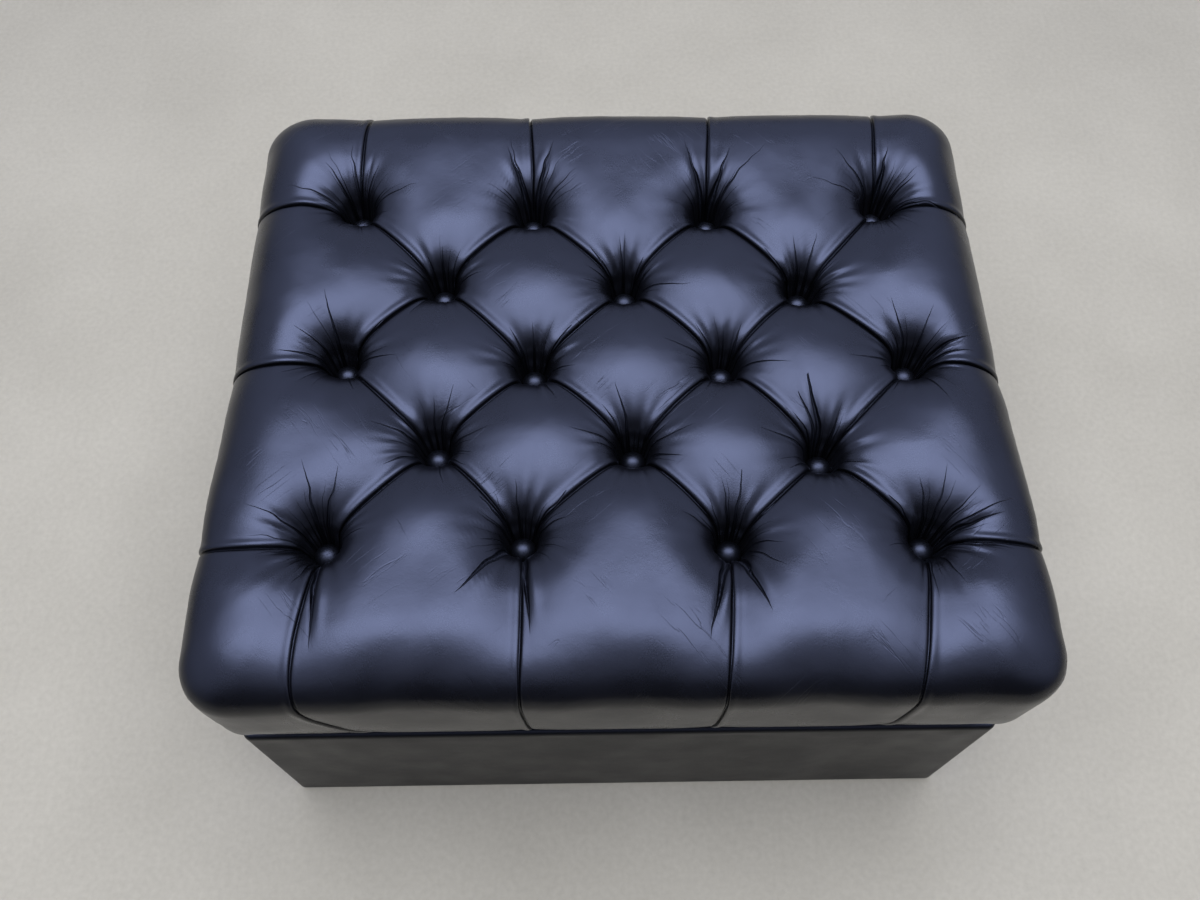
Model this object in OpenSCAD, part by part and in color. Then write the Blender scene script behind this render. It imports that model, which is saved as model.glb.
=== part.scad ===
// Storage ottoman with a deep diamond-tufted lid.
// Millimetres, +Z up, front towards -Y. The origin is on the floor under the centre.

/* [Base] */
// Width of the base over its leather
base_w = 676; // [640:4:720]
// Depth of the base over its leather
base_d = 572; // [540:4:610]
// Height of the base's rim above the floor
rim_z = 230; // [215:1:260]
// Thickness of the box boards
board_t = 15; // [12:1:18]
// Thickness of the padding on the boards
padding_t = 5; // [4:1:6]
// Radius of the base's upright corners
base_corner_r = 18; // [14:1:18]
// Radius of the soft roll along the rim
rim_roll = 10; // [6:1:12]

/* [Lid] */
// Gap between the rim and the closed lid
lid_gap = 3; // [2.6:0.1:4]
// Height of the lid from its underside to the crown of the pads
lid_h = 182; // [170:1:190]
// How far the lid swells out past the base's left and right sides
swell_x = 8; // [6:1:16]
// How far the lid swells out past the base's front and back
swell_y = 18; // [12:1:20]
// Height of the lid's rails
rail_h = 58; // [50:1:60]
// Thickness of the drilled deck
deck_t = 12; // [9:1:15]
// Thickness of the leather
leather_t = 2; // [1.5:0.1:2.2]
// Thickness of the wadding over the foam
wadding_t = 8; // [6:1:10]

/* [Tufting] */
// Spacing of the buttons along a row
button_pitch = 165; // [155:1:168]
// Spacing of the rows
row_pitch = 84; // [78:1:85]
// Diameter of a covered button
button_d = 22; // [18:1:24]
// Depth of a button's seat below the crown of the pads
button_depth = 52; // [40:1:56]

/* [Hinges and stays] */
// Length of a hinge
hinge_l = 76; // [60:1:90]
// Distance of each hinge from the centre
hinge_x = 210; // [150:5:240]
// Radius of a hinge knuckle
knuckle_r = 3.4; // [3.2:0.1:3.6]
// Radius of a hinge pin
pin_r = 1.5; // [1.2:0.1:1.8]
// Thickness of a hinge leaf
leaf_t = 1.4; // [1:0.1:1.4]
// Distance of the stays' pivots in front of the hinge line
stay_reach = 108; // [100:1:115]
// Distance of the stays' pivots above and below the hinge line
stay_drop = 22; // [20:1:24]
// How far the lid opens, in degrees
open_angle = 95; // [80:1:100]
// Width of a stay arm
arm_w = 16; // [14:1:18]

/* [Hidden] */

LEATHER = "#1c1e26";
BUTTON = "#262933";
PLY = "burlywood";
PADDING = "ivory";
LINING = "#4a4038";
CLOTH = "#222222";
STEEL = "silver";
RUBBER = "#303030";

EPS = 0.01;
slab_t = 0.2;

// Base levels and half sizes
glide_h = 6;
glide_r = 11;
board_z0 = glide_h + leather_t;
board_z1 = rim_z - leather_t - 1;
skin = padding_t + leather_t;
board_hx = base_w / 2 - skin;
board_hy = base_d / 2 - skin;
board_r = 10;
box_hx = board_hx - board_t;
box_hy = board_hy - board_t;
floor_z = 18;
floor_t = 9;
floor_top = floor_z + floor_t;
lining_t = 2;
corner_leg = 22;
hem_w = 35;
glide_x = board_hx - 15;
glide_y = board_hy - 10;
welt_r = 2.5;

// Lid levels and half sizes
lid_z0 = rim_z + lid_gap;
crown_z = lid_z0 + lid_h;
rail_z0 = lid_z0 + leather_t;
deck_z0 = rail_z0 + rail_h;
deck_z1 = deck_z0 + deck_t;
lip_inset = 6;
frame_hx = base_w / 2 - lip_inset - leather_t - 1;
frame_hy = base_d / 2 - lip_inset - leather_t - 1;
well_hx = frame_hx - board_t;
well_hy = frame_hy - board_t;
frame_r = 14;
ceiling_z = deck_z0 - 2 * lining_t;
roll_r = 66;

// Buttons: rows of four and three by turns, each nudged as a hand-tufted one is
rows = 5;
grid_x = 7;
nudges = [
    [[-3, 1], [-6, 4], [0, -1], [-5, -1]],
    [[2, 4], [5, 0], [0, -7]],
    [[-1, 6], [2, -2], [4, -1], [4, -2]],
    [[0, 2], [2, -2], [-2, -6]],
    [[0, 4], [-1, -1], [0, -3], [-4, 4]]
];
function in_row(row) = row % 2 == 0 ? 4 : 3;
buttons = [
    for (row = [0 : rows - 1]) for (i = [0 : in_row(row) - 1])
        [grid_x + (i - (in_row(row) - 1) / 2) * button_pitch, (row - (rows - 1) / 2) * row_pitch]
            + nudges[row][i]
];
seat_z = crown_z - button_depth;
well_r0 = button_d / 2 + 3;
well_r1 = 46;
twine_r = 0.8;
twine_gap = 1.2;
shank_r = 2.4;
shank_l = 7;

// Hinges and stays
hinge_y = base_d / 2 + 5.5;
hinge_z = rim_z + lid_gap / 2;
run_fit = 0.06;
knuckles = 5;
knuckle_gap = 0.3;
leaf_y0 = base_d / 2 - 21;
screw_y = base_d / 2 - 14.5;
screw_r = 1.7;
stay_y = hinge_y - stay_reach;
stay_r = norm([stay_reach, stay_drop]);
stay_rest = 2 * atan(stay_drop / stay_reach);
stud_r = 3;
slot_r = stud_r + 0.3;
slot_near = 2 * stay_drop;
slot_far = 2 * stay_r * sin((open_angle + stay_rest) / 2);
arm_t = 2.2;
arm_x = box_hx - 11.4;
plate_t = 2;
plate_l = 46;
plate_h = 26;
side_play = 0.3;
head_t = 2;

// ---------- Shapes used by several parts ----------

// Rectangle with round corners, centred
module rounded(hx, hy, r) {
    square([2 * (hx - r), 2 * hy], center = true);
    square([2 * hx, 2 * (hy - r)], center = true);
    for (sx = [-1, 1], sy = [-1, 1])
        translate([sx * (hx - r), sy * (hy - r)]) circle(r, $fn = 48);
}

// Rectangle with cut corners, centred
module chamfered(hx, hy, leg) {
    polygon([
        [hx, -hy + leg], [hx, hy - leg], [hx - leg, hy], [-hx + leg, hy],
        [-hx, hy - leg], [-hx, -hy + leg], [-hx + leg, -hy], [hx - leg, -hy]
    ]);
}

// Leg of a cut corner after its outline moves in by t
function cut_leg(leg, t) = leg - t * (2 - sqrt(2));

module box(low, high) {
    translate(low) cube(high - low);
}

// Part of the plan on one side, cut off by the diagonals through the corners at hx, hy
module sector(turn, hx, hy, z0, z1) {
    reach = 100;
    along = turn % 180 == 0 ? hx : hy;
    out = turn % 180 == 0 ? hy : hx;
    translate([0, 0, z0]) linear_extrude(z1 - z0) rotate(turn) polygon([
        [-along - reach, -out - reach], [along + reach, -out - reach],
        [along - reach, -out + reach], [-along + reach, -out + reach]
    ]);
}

// Slab used as one level of a soft form
module level(z, hx, hy, r) {
    translate([0, 0, z]) linear_extrude(slab_t)
        for (sx = [-1, 1], sy = [-1, 1])
            translate([sx * (hx - r), sy * (hy - r)]) circle(r, $fn = 36);
}

// Solid form of the upholstered lid, inset from its leather by "inset"
module lid_form(inset) {
    hx = base_w / 2 - inset;
    hy = base_d / 2 - inset;
    roll = roll_r - inset;
    top = crown_z - inset;
    hull() {
        level(lid_z0 + inset, hx - lip_inset, hy - lip_inset, 18 - inset);
        level(lid_z0 + 27, hx + 0.42 * swell_x, hy + 0.42 * swell_y, 30 - inset);
        level(lid_z0 + 67, hx + 0.88 * swell_x, hy + 0.88 * swell_y, 42 - inset);
        for (a = [0 : 15 : 90])
            level(top - roll + roll * sin(a) - slab_t, hx + swell_x - roll * (1 - cos(a)),
                hy + swell_y - roll * (1 - cos(a)), 48 - inset);
    }
}

// The well that a button pulls into the lid, widened by "grow"
module wells(grow, depth) {
    for (b = buttons) translate([b[0], b[1], seat_z - depth])
        cylinder(r1 = well_r0 + grow, r2 = well_r1 + grow, h = button_depth + depth + EPS,
            $fn = 32);
}

module at_buttons(z) {
    for (b = buttons) translate([b[0], b[1], z]) children();
}

// Countersunk wood screw, head upwards, its top at the origin
module screw(r, l) {
    head_r = 2 * r;
    difference() {
        union() {
            translate([0, 0, -r]) cylinder(r1 = r, r2 = head_r, h = r, $fn = 24);
            translate([0, 0, 2 * r - l]) cylinder(r = r, h = l - 3 * r + EPS, $fn = 24);
            translate([0, 0, -l]) cylinder(r1 = 0.1, r2 = r, h = 2 * r, $fn = 24);
        }
        for (a = [0, 90]) rotate(a)
            translate([-r, -0.15 * r, -0.6 * r]) cube([2 * r, 0.3 * r, r]);
    }
}

// ---------- Base ----------

module cross_board(side) {
    color(PLY) intersection() {
        translate([0, 0, board_z0]) linear_extrude(board_z1 - board_z0)
            rounded(board_hx, board_hy, board_r);
        box([-board_hx, side > 0 ? box_hy : -board_hy, board_z0],
            [board_hx, side > 0 ? board_hy : -box_hy, board_z1]);
    }
}

module side_board(side) {
    color(PLY) box([side > 0 ? box_hx : -board_hx, -box_hy, board_z0],
        [side > 0 ? board_hx : -box_hx, box_hy, board_z1]);
}

module base_floor_board() {
    color(PLY) box([-box_hx, -box_hy, floor_z], [box_hx, box_hy, floor_top]);
}

module floor_cleats() {
    w = 18;
    color(PLY) for (s = [-1, 1]) {
        translate([0, s * (box_hy - w / 2), (board_z0 + floor_z) / 2])
            cube([2 * box_hx, w, floor_z - board_z0], center = true);
        translate([s * (box_hx - w / 2), 0, (board_z0 + floor_z) / 2])
            cube([w, 2 * (box_hy - w), floor_z - board_z0], center = true);
    }
}

module corner_blocks() {
    color(PLY) for (sx = [-1, 1], sy = [-1, 1])
        translate([sx * box_hx, sy * box_hy, floor_top])
            linear_extrude(board_z1 - floor_top)
                polygon([[0, 0], [-sx * corner_leg, 0], [0, -sy * corner_leg]]);
}

// Padding stops short of the round corner and is bevelled there
module padding(along, out, z0, z1) {
    end = along + skin - base_corner_r - 1;
    translate([0, 0, z0]) linear_extrude(z1 - z0)
        polygon([[-along, -out], [along, -out], [end, -out - padding_t], [-end, -out - padding_t]]);
}

module cross_padding(side) {
    color(PADDING) rotate(side > 0 ? 180 : 0)
        padding(board_hx, board_hy, board_z0, board_z1 - rim_roll);
}

module side_padding(side) {
    color(PADDING) rotate(side > 0 ? 90 : 270)
        padding(board_hy, board_hx, board_z0, board_z1 - rim_roll);
}

// Section of the leather up a side and over the roll of the rim, out from a corner's axis
module leather_section() {
    top = rim_z - rim_roll;
    translate([base_corner_r - leather_t, glide_h]) square([leather_t, top - glide_h]);
    translate([base_corner_r - rim_roll - 3, rim_z - leather_t]) square([3, leather_t]);
    translate([base_corner_r - rim_roll, top]) intersection() {
        difference() {
            circle(rim_roll, $fn = 48);
            circle(rim_roll - leather_t, $fn = 48);
        }
        square(rim_roll);
    }
}

// Leather over one side, folded over the rim and under the boards, up to half of each corner
module base_leather(turn, along, out) {
    flat = along - base_corner_r;
    axis_y = base_corner_r - out;
    color(LEATHER) rotate(turn) {
        translate([flat, axis_y, 0]) rotate([90, 0, -90]) linear_extrude(2 * flat) leather_section();
        for (side = [0, 1]) mirror([side, 0, 0]) translate([flat, axis_y, 0]) rotate(-90)
            rotate_extrude(angle = 45, $fn = 96) leather_section();
        fold(along - rim_roll - 1.5, out - rim_roll - 1.5, base_corner_r - rim_roll - 1.5, rim_z - leather_t)
            chamfered(along - skin - board_t, out - skin - board_t, corner_leg);
        fold(along - 1, out - 1, base_corner_r - 1, glide_h)
            square([2 * (along - hem_w), 2 * (out - hem_w)], center = true);
    }
}

// Flat turned-in leather along the front: an outline less the opening given as its child
module fold(hx, hy, r, z) {
    translate([0, 0, z]) linear_extrude(leather_t) intersection() {
        difference() {
            rounded(hx, hy, r);
            children();
        }
        polygon([[-hx - 1, -hy - 1], [hx + 1, -hy - 1], [hx - 90, -hy + 90], [-hx + 90, -hy + 90]]);
    }
}

module box_lining_walls() {
    color(LINING) translate([0, 0, floor_top + lining_t])
        linear_extrude(rim_z - 2 * welt_r - floor_top - lining_t) difference() {
            chamfered(box_hx, box_hy, corner_leg);
            chamfered(box_hx - lining_t, box_hy - lining_t, cut_leg(corner_leg, lining_t));
        }
}

module box_lining_floor() {
    color(LINING) translate([0, 0, floor_top]) linear_extrude(lining_t)
        chamfered(box_hx, box_hy, corner_leg);
}

// Round welt that follows a rectangle with cut corners
module welt(hx, hy, leg, z) {
    points = [
        [hx, hy - leg], [hx - leg, hy], [-hx + leg, hy], [-hx, hy - leg],
        [-hx, -hy + leg], [-hx + leg, -hy], [hx - leg, -hy], [hx, -hy + leg]
    ];
    for (i = [0 : 7]) {
        a = points[i];
        b = points[(i + 1) % 8];
        translate([a[0], a[1], z]) {
            sphere(welt_r, $fn = 24);
            rotate([0, 90, atan2(b[1] - a[1], b[0] - a[0])])
                cylinder(r = welt_r - 0.1, h = norm(b - a), $fn = 24);
        }
    }
}

module box_lining_welt() {
    color(LINING)
        welt(box_hx - welt_r, box_hy - welt_r, cut_leg(corner_leg, welt_r), rim_z - welt_r);
}

module dust_cover() {
    edge = 14;
    color(CLOTH) translate([0, 0, glide_h - 1]) linear_extrude(1) difference() {
        square([2 * (board_hx - edge), 2 * (board_hy - edge)], center = true);
        for (sx = [-1, 1], sy = [-1, 1])
            translate([sx * glide_x, sy * glide_y]) circle(glide_r + 1, $fn = 48);
    }
}

module glides() {
    color(RUBBER) for (sx = [-1, 1], sy = [-1, 1])
        translate([sx * glide_x, sy * glide_y, 0]) difference() {
            union() {
                cylinder(r1 = glide_r - 1.5, r2 = glide_r, h = 1.5, $fn = 48);
                translate([0, 0, 1.5]) cylinder(r = glide_r, h = glide_h - 1.5, $fn = 48);
            }
            translate([0, 0, -1]) cylinder(r = 4.2, h = 2, $fn = 32);
            translate([0, 0, 1]) cylinder(r1 = 4.2, r2 = 2.2, h = 2, $fn = 32);
            cylinder(r = 2.2, h = glide_h + 1, $fn = 32);
        }
}

module glide_screws() {
    color(STEEL) for (sx = [-1, 1], sy = [-1, 1])
        translate([sx * glide_x, sy * glide_y, 1]) rotate([180, 0, 0]) screw(2, 20);
}

module board_screws() {
    color(STEEL) for (sx = [-1, 1], sy = [-1, 1], z = [40, 120, 200])
        translate([sx * (box_hx + board_t / 2), sy * board_hy, z])
            rotate([sy > 0 ? -90 : 90, 0, 0]) screw(2, 45);
}

// ---------- Lid ----------

module frame_outline(z0, z1) {
    translate([0, 0, z0]) linear_extrude(z1 - z0) rounded(frame_hx, frame_hy, frame_r);
}

module cross_rail(side) {
    color(PLY) intersection() {
        frame_outline(rail_z0, deck_z0);
        box([-frame_hx, side > 0 ? well_hy : -frame_hy, rail_z0],
            [frame_hx, side > 0 ? frame_hy : -well_hy, deck_z0]);
    }
}

module side_rail(side) {
    color(PLY) box([side > 0 ? well_hx : -frame_hx, -well_hy, rail_z0],
        [side > 0 ? frame_hx : -well_hx, well_hy, deck_z0]);
}

module lid_deck() {
    color(PLY) difference() {
        frame_outline(deck_z0, deck_z1);
        at_buttons(deck_z0 - 1) cylinder(r = 3, h = deck_t + 2, $fn = 24);
    }
}

module lid_foam() {
    color(PADDING) difference() {
        intersection() {
            lid_form(leather_t + wadding_t);
            box([-base_w, -base_d, deck_z1], [base_w, base_d, crown_z]);
        }
        wells(wadding_t + leather_t, wadding_t);
        at_buttons(deck_z1 - 1) cylinder(r = 3, h = 100, $fn = 24);
    }
}

// Foam glued along the outside of a rail, from the lip up to the deck
module rail_pad(turn) {
    lowest = rail_z0 + 8;
    color(PADDING) intersection() {
        difference() {
            lid_form(leather_t);
            frame_outline(rail_z0 - 1, deck_z1 + 1);
        }
        sector(turn, frame_hx, frame_hy, lowest, deck_z1);
    }
}

module lid_wadding() {
    color("white") difference() {
        intersection() {
            lid_form(leather_t);
            box([-base_w, -base_d, deck_z1], [base_w, base_d, crown_z]);
        }
        difference() {
            intersection() {
                lid_form(leather_t + wadding_t);
                box([-base_w, -base_d, deck_z1 - 1], [base_w, base_d, crown_z]);
            }
            wells(wadding_t + leather_t, wadding_t);
        }
        wells(leather_t, leather_t);
        at_buttons(seat_z - 20) cylinder(r = 3, h = 30, $fn = 24);
    }
}

// Leather cover: a skin with a well at each button and a hem turned in under the rails
module lid_cover() {
    color(LEATHER) difference() {
        lid_form(0);
        difference() {
            lid_form(leather_t);
            wells(leather_t, leather_t);
        }
        wells(0, 0);
        box([-well_hx, -well_hy, lid_z0 - 1], [well_hx, well_hy, rail_z0 + 1]);
        at_buttons(seat_z - 10) cylinder(r = 3, h = 20, $fn = 24);
    }
}

// Domed cap of a covered button
module button_caps() {
    cap_h = 7;
    dome_r = (pow(button_d / 2, 2) + pow(cap_h - 1.5, 2)) / (2 * (cap_h - 1.5));
    color(BUTTON) at_buttons(seat_z + 1.5) {
        cylinder(r = button_d / 2, h = 1.5, $fn = 48);
        translate([0, 0, 1.5]) intersection() {
            cylinder(r = button_d / 2, h = cap_h, $fn = 48);
            translate([0, 0, cap_h - 1.5 - dome_r]) sphere(dome_r, $fn = 64);
        }
    }
}

module button_backs() {
    color(STEEL) at_buttons(seat_z) {
        cylinder(r = button_d / 2 - 1.5, h = 1.5, $fn = 48);
        translate([0, 0, -shank_l]) cylinder(r = shank_r, h = shank_l, $fn = 24);
    }
}

// Two strands from each button's shank down to its anchor
module button_twines() {
    color("tan") at_buttons(deck_z0) for (s = [-1, 1])
        translate([s * twine_gap, 0, 0])
            cylinder(r = twine_r, h = seat_z - shank_l - deck_z0, $fn = 16);
}

module twine_anchors() {
    color(STEEL) at_buttons(deck_z0 - lining_t) difference() {
        cylinder(r = 11, h = lining_t, $fn = 48);
        for (s = [-1, 1]) translate([2 * s * twine_gap, 0, -1]) cylinder(r = 0.9, h = 4, $fn = 16);
    }
}

// Cloth tray inside the lid
module lid_lining() {
    color(LINING) difference() {
        box([-well_hx, -well_hy, rail_z0 + 2 * welt_r], [well_hx, well_hy, ceiling_z + lining_t]);
        box([-well_hx + lining_t, -well_hy + lining_t, rail_z0],
            [well_hx - lining_t, well_hy - lining_t, ceiling_z]);
    }
}

module lid_lining_welt() {
    color(LINING) welt(well_hx - welt_r, well_hy - welt_r, 4, rail_z0 + welt_r);
}

module lid_bumpers() {
    h = lid_gap - 0.3;
    color(RUBBER) for (s = [-1, 1], p = [[290, -frame_hy + 8], [frame_hx - 8, 60]])
        translate([s * p[0], p[1], lid_z0 - h]) cylinder(r1 = 4.5, r2 = 5, h = h, $fn = 32);
}

// ---------- Hinges ----------

// Place something at the left (-1) or right (1) hinge, on the hinge line
module at_hinge(side) {
    translate([side * hinge_x, hinge_y, hinge_z]) children();
}

// One leaf: up is 1 for the lid's leaf and -1 for the base's, which has the outer knuckles
module hinge_leaf(up) {
    pitch = hinge_l / knuckles;
    mine = up > 0 ? [1, 3] : [0, 2, 4];
    others = up > 0 ? [0, 2, 4] : [1, 3];
    z0 = up > 0 ? lid_gap / 2 - leaf_t : -lid_gap / 2;
    bore = up > 0 ? pin_r + run_fit : pin_r;
    clear = knuckle_r + 0.4;
    difference() {
        union() {
            box([-hinge_l / 2, leaf_y0 - hinge_y, z0], [hinge_l / 2, 0, z0 + leaf_t]);
            for (k = mine) translate([(k + 0.5) * pitch - hinge_l / 2, 0, 0]) rotate([0, 90, 0])
                cylinder(r = knuckle_r, h = pitch - knuckle_gap, center = true, $fn = 48);
        }
        for (k = others)
            box([k * pitch - hinge_l / 2 - knuckle_gap / 2, -clear, -clear],
                [(k + 1) * pitch - hinge_l / 2 + knuckle_gap / 2, clear, clear]);
        rotate([0, 90, 0]) cylinder(r = bore, h = hinge_l + 2, center = true, $fn = 48);
        for (x = [-1, 0, 1])
            translate([x * hinge_l / 3, screw_y - hinge_y, z0 + leaf_t / 2])
                rotate([up > 0 ? 180 : 0, 0, 0]) screw_hole(leaf_t);
    }
}

// Countersunk hole through a plate centred on z = 0, its wide end upwards
module screw_hole(t) {
    r = screw_r + 0.4;
    translate([0, 0, -t]) cylinder(r = r, h = 2 * t, $fn = 24);
    translate([0, 0, t / 2 - 1.4]) cylinder(r1 = r, r2 = r + 1.5, h = 1.5, $fn = 24);
}

module hinge_base_leaf(side) {
    color(STEEL) at_hinge(side) hinge_leaf(-1);
}

module hinge_lid_leaf(side) {
    color(STEEL) at_hinge(side) hinge_leaf(1);
}

module hinge_pin(side) {
    color(STEEL) at_hinge(side) rotate([0, 90, 0]) {
        cylinder(r = pin_r, h = hinge_l, center = true, $fn = 48);
        for (s = [-1, 1]) translate([0, 0, s * (hinge_l / 2 + 0.5)])
            cylinder(r = 2.4, h = 1, center = true, $fn = 32);
    }
}

module hinge_screws(up) {
    top = up > 0 ? lid_gap / 2 - leaf_t : -lid_gap / 2 + leaf_t;
    color(STEEL) for (side = [-1, 1]) at_hinge(side) for (x = [-1, 0, 1])
        translate([x * hinge_l / 3, screw_y - hinge_y, top + up * 0.1])
            rotate([up > 0 ? 180 : 0, 0, 0]) screw(screw_r, 20);
}

// ---------- Lid stays ----------

// Slotted arm, hanging from its pivot on the lid when the lid is shut
module stay_arm(side) {
    tip = slot_far + 11;
    x = side > 0 ? arm_x : -arm_x - arm_t;
    color(STEEL) translate([x, stay_y, hinge_z + stay_drop]) rotate([0, 90, 0])
        linear_extrude(arm_t) difference() {
            union() {
                for (end = [0, tip]) translate([end, 0]) circle(arm_w / 2, $fn = 48);
                translate([0, -arm_w / 2]) square([tip, arm_w]);
            }
            circle(stud_r + run_fit, $fn = 48);
            for (end = [slot_near, slot_far]) translate([end, 0]) circle(slot_r, $fn = 48);
            translate([slot_near, -slot_r]) square([slot_far - slot_near, 2 * slot_r]);
        }
}

// Plate against the face at x, with a headed stud that carries the arm, at height z
module stay_bracket(side, face, z) {
    rivet = arm_x - side_play;
    color(STEEL) mirror([side > 0 ? 0 : 1, 0, 0]) translate([0, stay_y, z]) {
        difference() {
            box([face - plate_t, -plate_l / 2, -plate_h / 2], [face, plate_l / 2, plate_h / 2]);
            for (s = [-1, 1]) translate([face - plate_t / 2, s * plate_l / 3, 0])
                rotate([0, -90, 0]) screw_hole(plate_t);
        }
        rotate([0, 90, 0]) {
            translate([0, 0, arm_x + arm_t + side_play])
                cylinder(r = 5, h = face - plate_t - arm_x - arm_t - side_play, $fn = 48);
            translate([0, 0, rivet]) cylinder(r = stud_r, h = arm_t + 2 * side_play, $fn = 48);
            translate([0, 0, rivet - head_t]) cylinder(r1 = 4.5, r2 = 5.5, h = head_t, $fn = 48);
        }
    }
}

module stay_base_bracket(side) {
    stay_bracket(side, box_hx - lining_t, hinge_z - stay_drop);
}

module stay_lid_bracket(side) {
    stay_bracket(side, well_hx - lining_t, hinge_z + stay_drop);
}

module stay_screws(face, z) {
    color(STEEL) for (side = [-1, 1], s = [-1, 1])
        translate([side * (face - plate_t + 0.1), stay_y + s * plate_l / 3, z])
            rotate([0, -side * 90, 0]) screw(screw_r, 14);
}

// ---------- The assembly ----------

cross_board(-1);  // base_front_board
cross_board(1);  // base_back_board
side_board(-1);  // base_left_board
side_board(1);  // base_right_board
base_floor_board();
floor_cleats();
corner_blocks();
cross_padding(-1);  // base_front_padding
cross_padding(1);  // base_back_padding
side_padding(-1);  // base_left_padding
side_padding(1);  // base_right_padding
base_leather(0, base_w / 2, base_d / 2);  // base_front_leather
base_leather(180, base_w / 2, base_d / 2);  // base_back_leather
base_leather(270, base_d / 2, base_w / 2);  // base_left_leather
base_leather(90, base_d / 2, base_w / 2);  // base_right_leather
box_lining_walls();
box_lining_floor();
box_lining_welt();
dust_cover();
glides();
glide_screws();
board_screws();
cross_rail(-1);  // lid_front_rail
cross_rail(1);  // lid_back_rail
side_rail(-1);  // lid_left_rail
side_rail(1);  // lid_right_rail
lid_deck();
lid_foam();
rail_pad(0);  // lid_front_pad
rail_pad(180);  // lid_back_pad
rail_pad(270);  // lid_left_pad
rail_pad(90);  // lid_right_pad
lid_wadding();
lid_cover();
button_caps();
button_backs();
button_twines();
twine_anchors();
lid_lining();
lid_lining_welt();
lid_bumpers();
hinge_base_leaf(-1);  // left_hinge_base_leaf
hinge_lid_leaf(-1);  // left_hinge_lid_leaf
hinge_pin(-1);  // left_hinge_pin
hinge_base_leaf(1);  // right_hinge_base_leaf
hinge_lid_leaf(1);  // right_hinge_lid_leaf
hinge_pin(1);  // right_hinge_pin
hinge_screws(-1);  // hinge_base_screws
hinge_screws(1);  // hinge_lid_screws
stay_arm(-1);  // left_stay_arm
stay_base_bracket(-1);  // left_stay_base_bracket
stay_lid_bracket(-1);  // left_stay_lid_bracket
stay_arm(1);  // right_stay_arm
stay_base_bracket(1);  // right_stay_base_bracket
stay_lid_bracket(1);  // right_stay_lid_bracket
stay_screws(box_hx - lining_t, hinge_z - stay_drop);  // stay_base_screws
stay_screws(well_hx - lining_t, hinge_z + stay_drop);  // stay_lid_screws
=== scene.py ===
"""Storage ottoman with a deep diamond-tufted lid: the looks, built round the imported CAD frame."""
import math
import bmesh
import bpy
import numpy as np
from mathutils import Matrix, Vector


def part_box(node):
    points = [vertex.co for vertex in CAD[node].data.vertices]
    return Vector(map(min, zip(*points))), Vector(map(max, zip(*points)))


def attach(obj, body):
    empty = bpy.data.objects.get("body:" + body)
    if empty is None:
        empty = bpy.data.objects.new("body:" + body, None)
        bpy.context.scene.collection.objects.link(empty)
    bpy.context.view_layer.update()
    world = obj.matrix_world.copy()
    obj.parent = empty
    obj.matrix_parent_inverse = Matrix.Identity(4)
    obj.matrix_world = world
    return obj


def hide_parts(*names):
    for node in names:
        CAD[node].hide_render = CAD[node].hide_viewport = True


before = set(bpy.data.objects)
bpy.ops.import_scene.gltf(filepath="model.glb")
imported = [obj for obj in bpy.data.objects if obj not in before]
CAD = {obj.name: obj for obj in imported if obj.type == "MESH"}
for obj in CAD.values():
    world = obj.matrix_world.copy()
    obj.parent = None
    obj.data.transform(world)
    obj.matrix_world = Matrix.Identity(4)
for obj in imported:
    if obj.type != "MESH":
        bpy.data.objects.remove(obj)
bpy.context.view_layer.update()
MM = 0.001
rng = np.random.default_rng(7)

# ---------- Sizes taken from the frame ----------
cover_low, cover_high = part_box("lid_cover")
deck_high, rail_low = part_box("lid_deck")[1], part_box("lid_front_rail")[0]
tray_low, tray_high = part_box("lid_lining")
cap_low, cap_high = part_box("button_caps")
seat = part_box("button_backs")[1].z - 1.5 * MM
crown, lip = cover_high.z, cover_low.z
roll = 66 * MM
flat_x, flat_y = cover_high.x - roll, cover_high.y - roll
CROWN_CORNER = 46 * MM


# ---------- Small maths ----------

def ramp(low, high, x):
    """Smooth step from 0 at low to 1 at high."""
    t = np.clip((x - low) / (high - low), 0, 1)
    return t * t * (3 - 2 * t)


def hump(x, centre, width):
    """Bell curve, 1 at its centre."""
    return np.exp(-(((x - centre) / width) ** 2))


def through(stations, values, x):
    """Smooth curve through values at the stations, read at x."""
    slope = np.stack([np.gradient(c, stations) for c in values.T], 1)
    k = np.clip(np.searchsorted(stations, x) - 1, 0, len(stations) - 2)
    h = (stations[k + 1] - stations[k])[..., None]
    t = np.clip((x - stations[k])[..., None] / h, 0, 1)
    return (values[k] * (2 * t**3 - 3 * t**2 + 1) + slope[k] * h * (t**3 - 2 * t**2 + t)
            + values[k + 1] * (3 * t**2 - 2 * t**3) + slope[k + 1] * h * (t**3 - t**2))


def unit(v):
    """Vectors made one long."""
    return v / np.maximum(np.linalg.norm(v, axis=-1), 1e-12)[..., None]


def level(plan, z):
    """Plan points, or distances along a wall, with their height as one more column."""
    return np.column_stack([plan, np.full(len(plan), z)])


def cells(ids):
    """Four-sided faces between neighbouring rows and columns of a grid of ids."""
    return np.stack([ids[:-1, :-1], ids[:-1, 1:], ids[1:, 1:], ids[1:, :-1]], -1)


def band(a, b):
    """Four-sided faces between two closed loops of ids, or between the loops in two grids of them."""
    return np.stack([a, np.roll(a, -1, -1), np.roll(b, -1, -1), b], -1).reshape(-1, 4).tolist()


def graded(count, first, growth, ends=2):
    """Stations from 0 to 1 whose steps grow away from the start, or from both ends."""
    half = count // 2 if ends == 2 else count
    steps = first * growth ** np.arange(half)
    steps = np.r_[steps, steps[::-1]] if ends == 2 else steps
    at = np.r_[0, np.cumsum(steps)]
    return at / at[-1]


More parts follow.
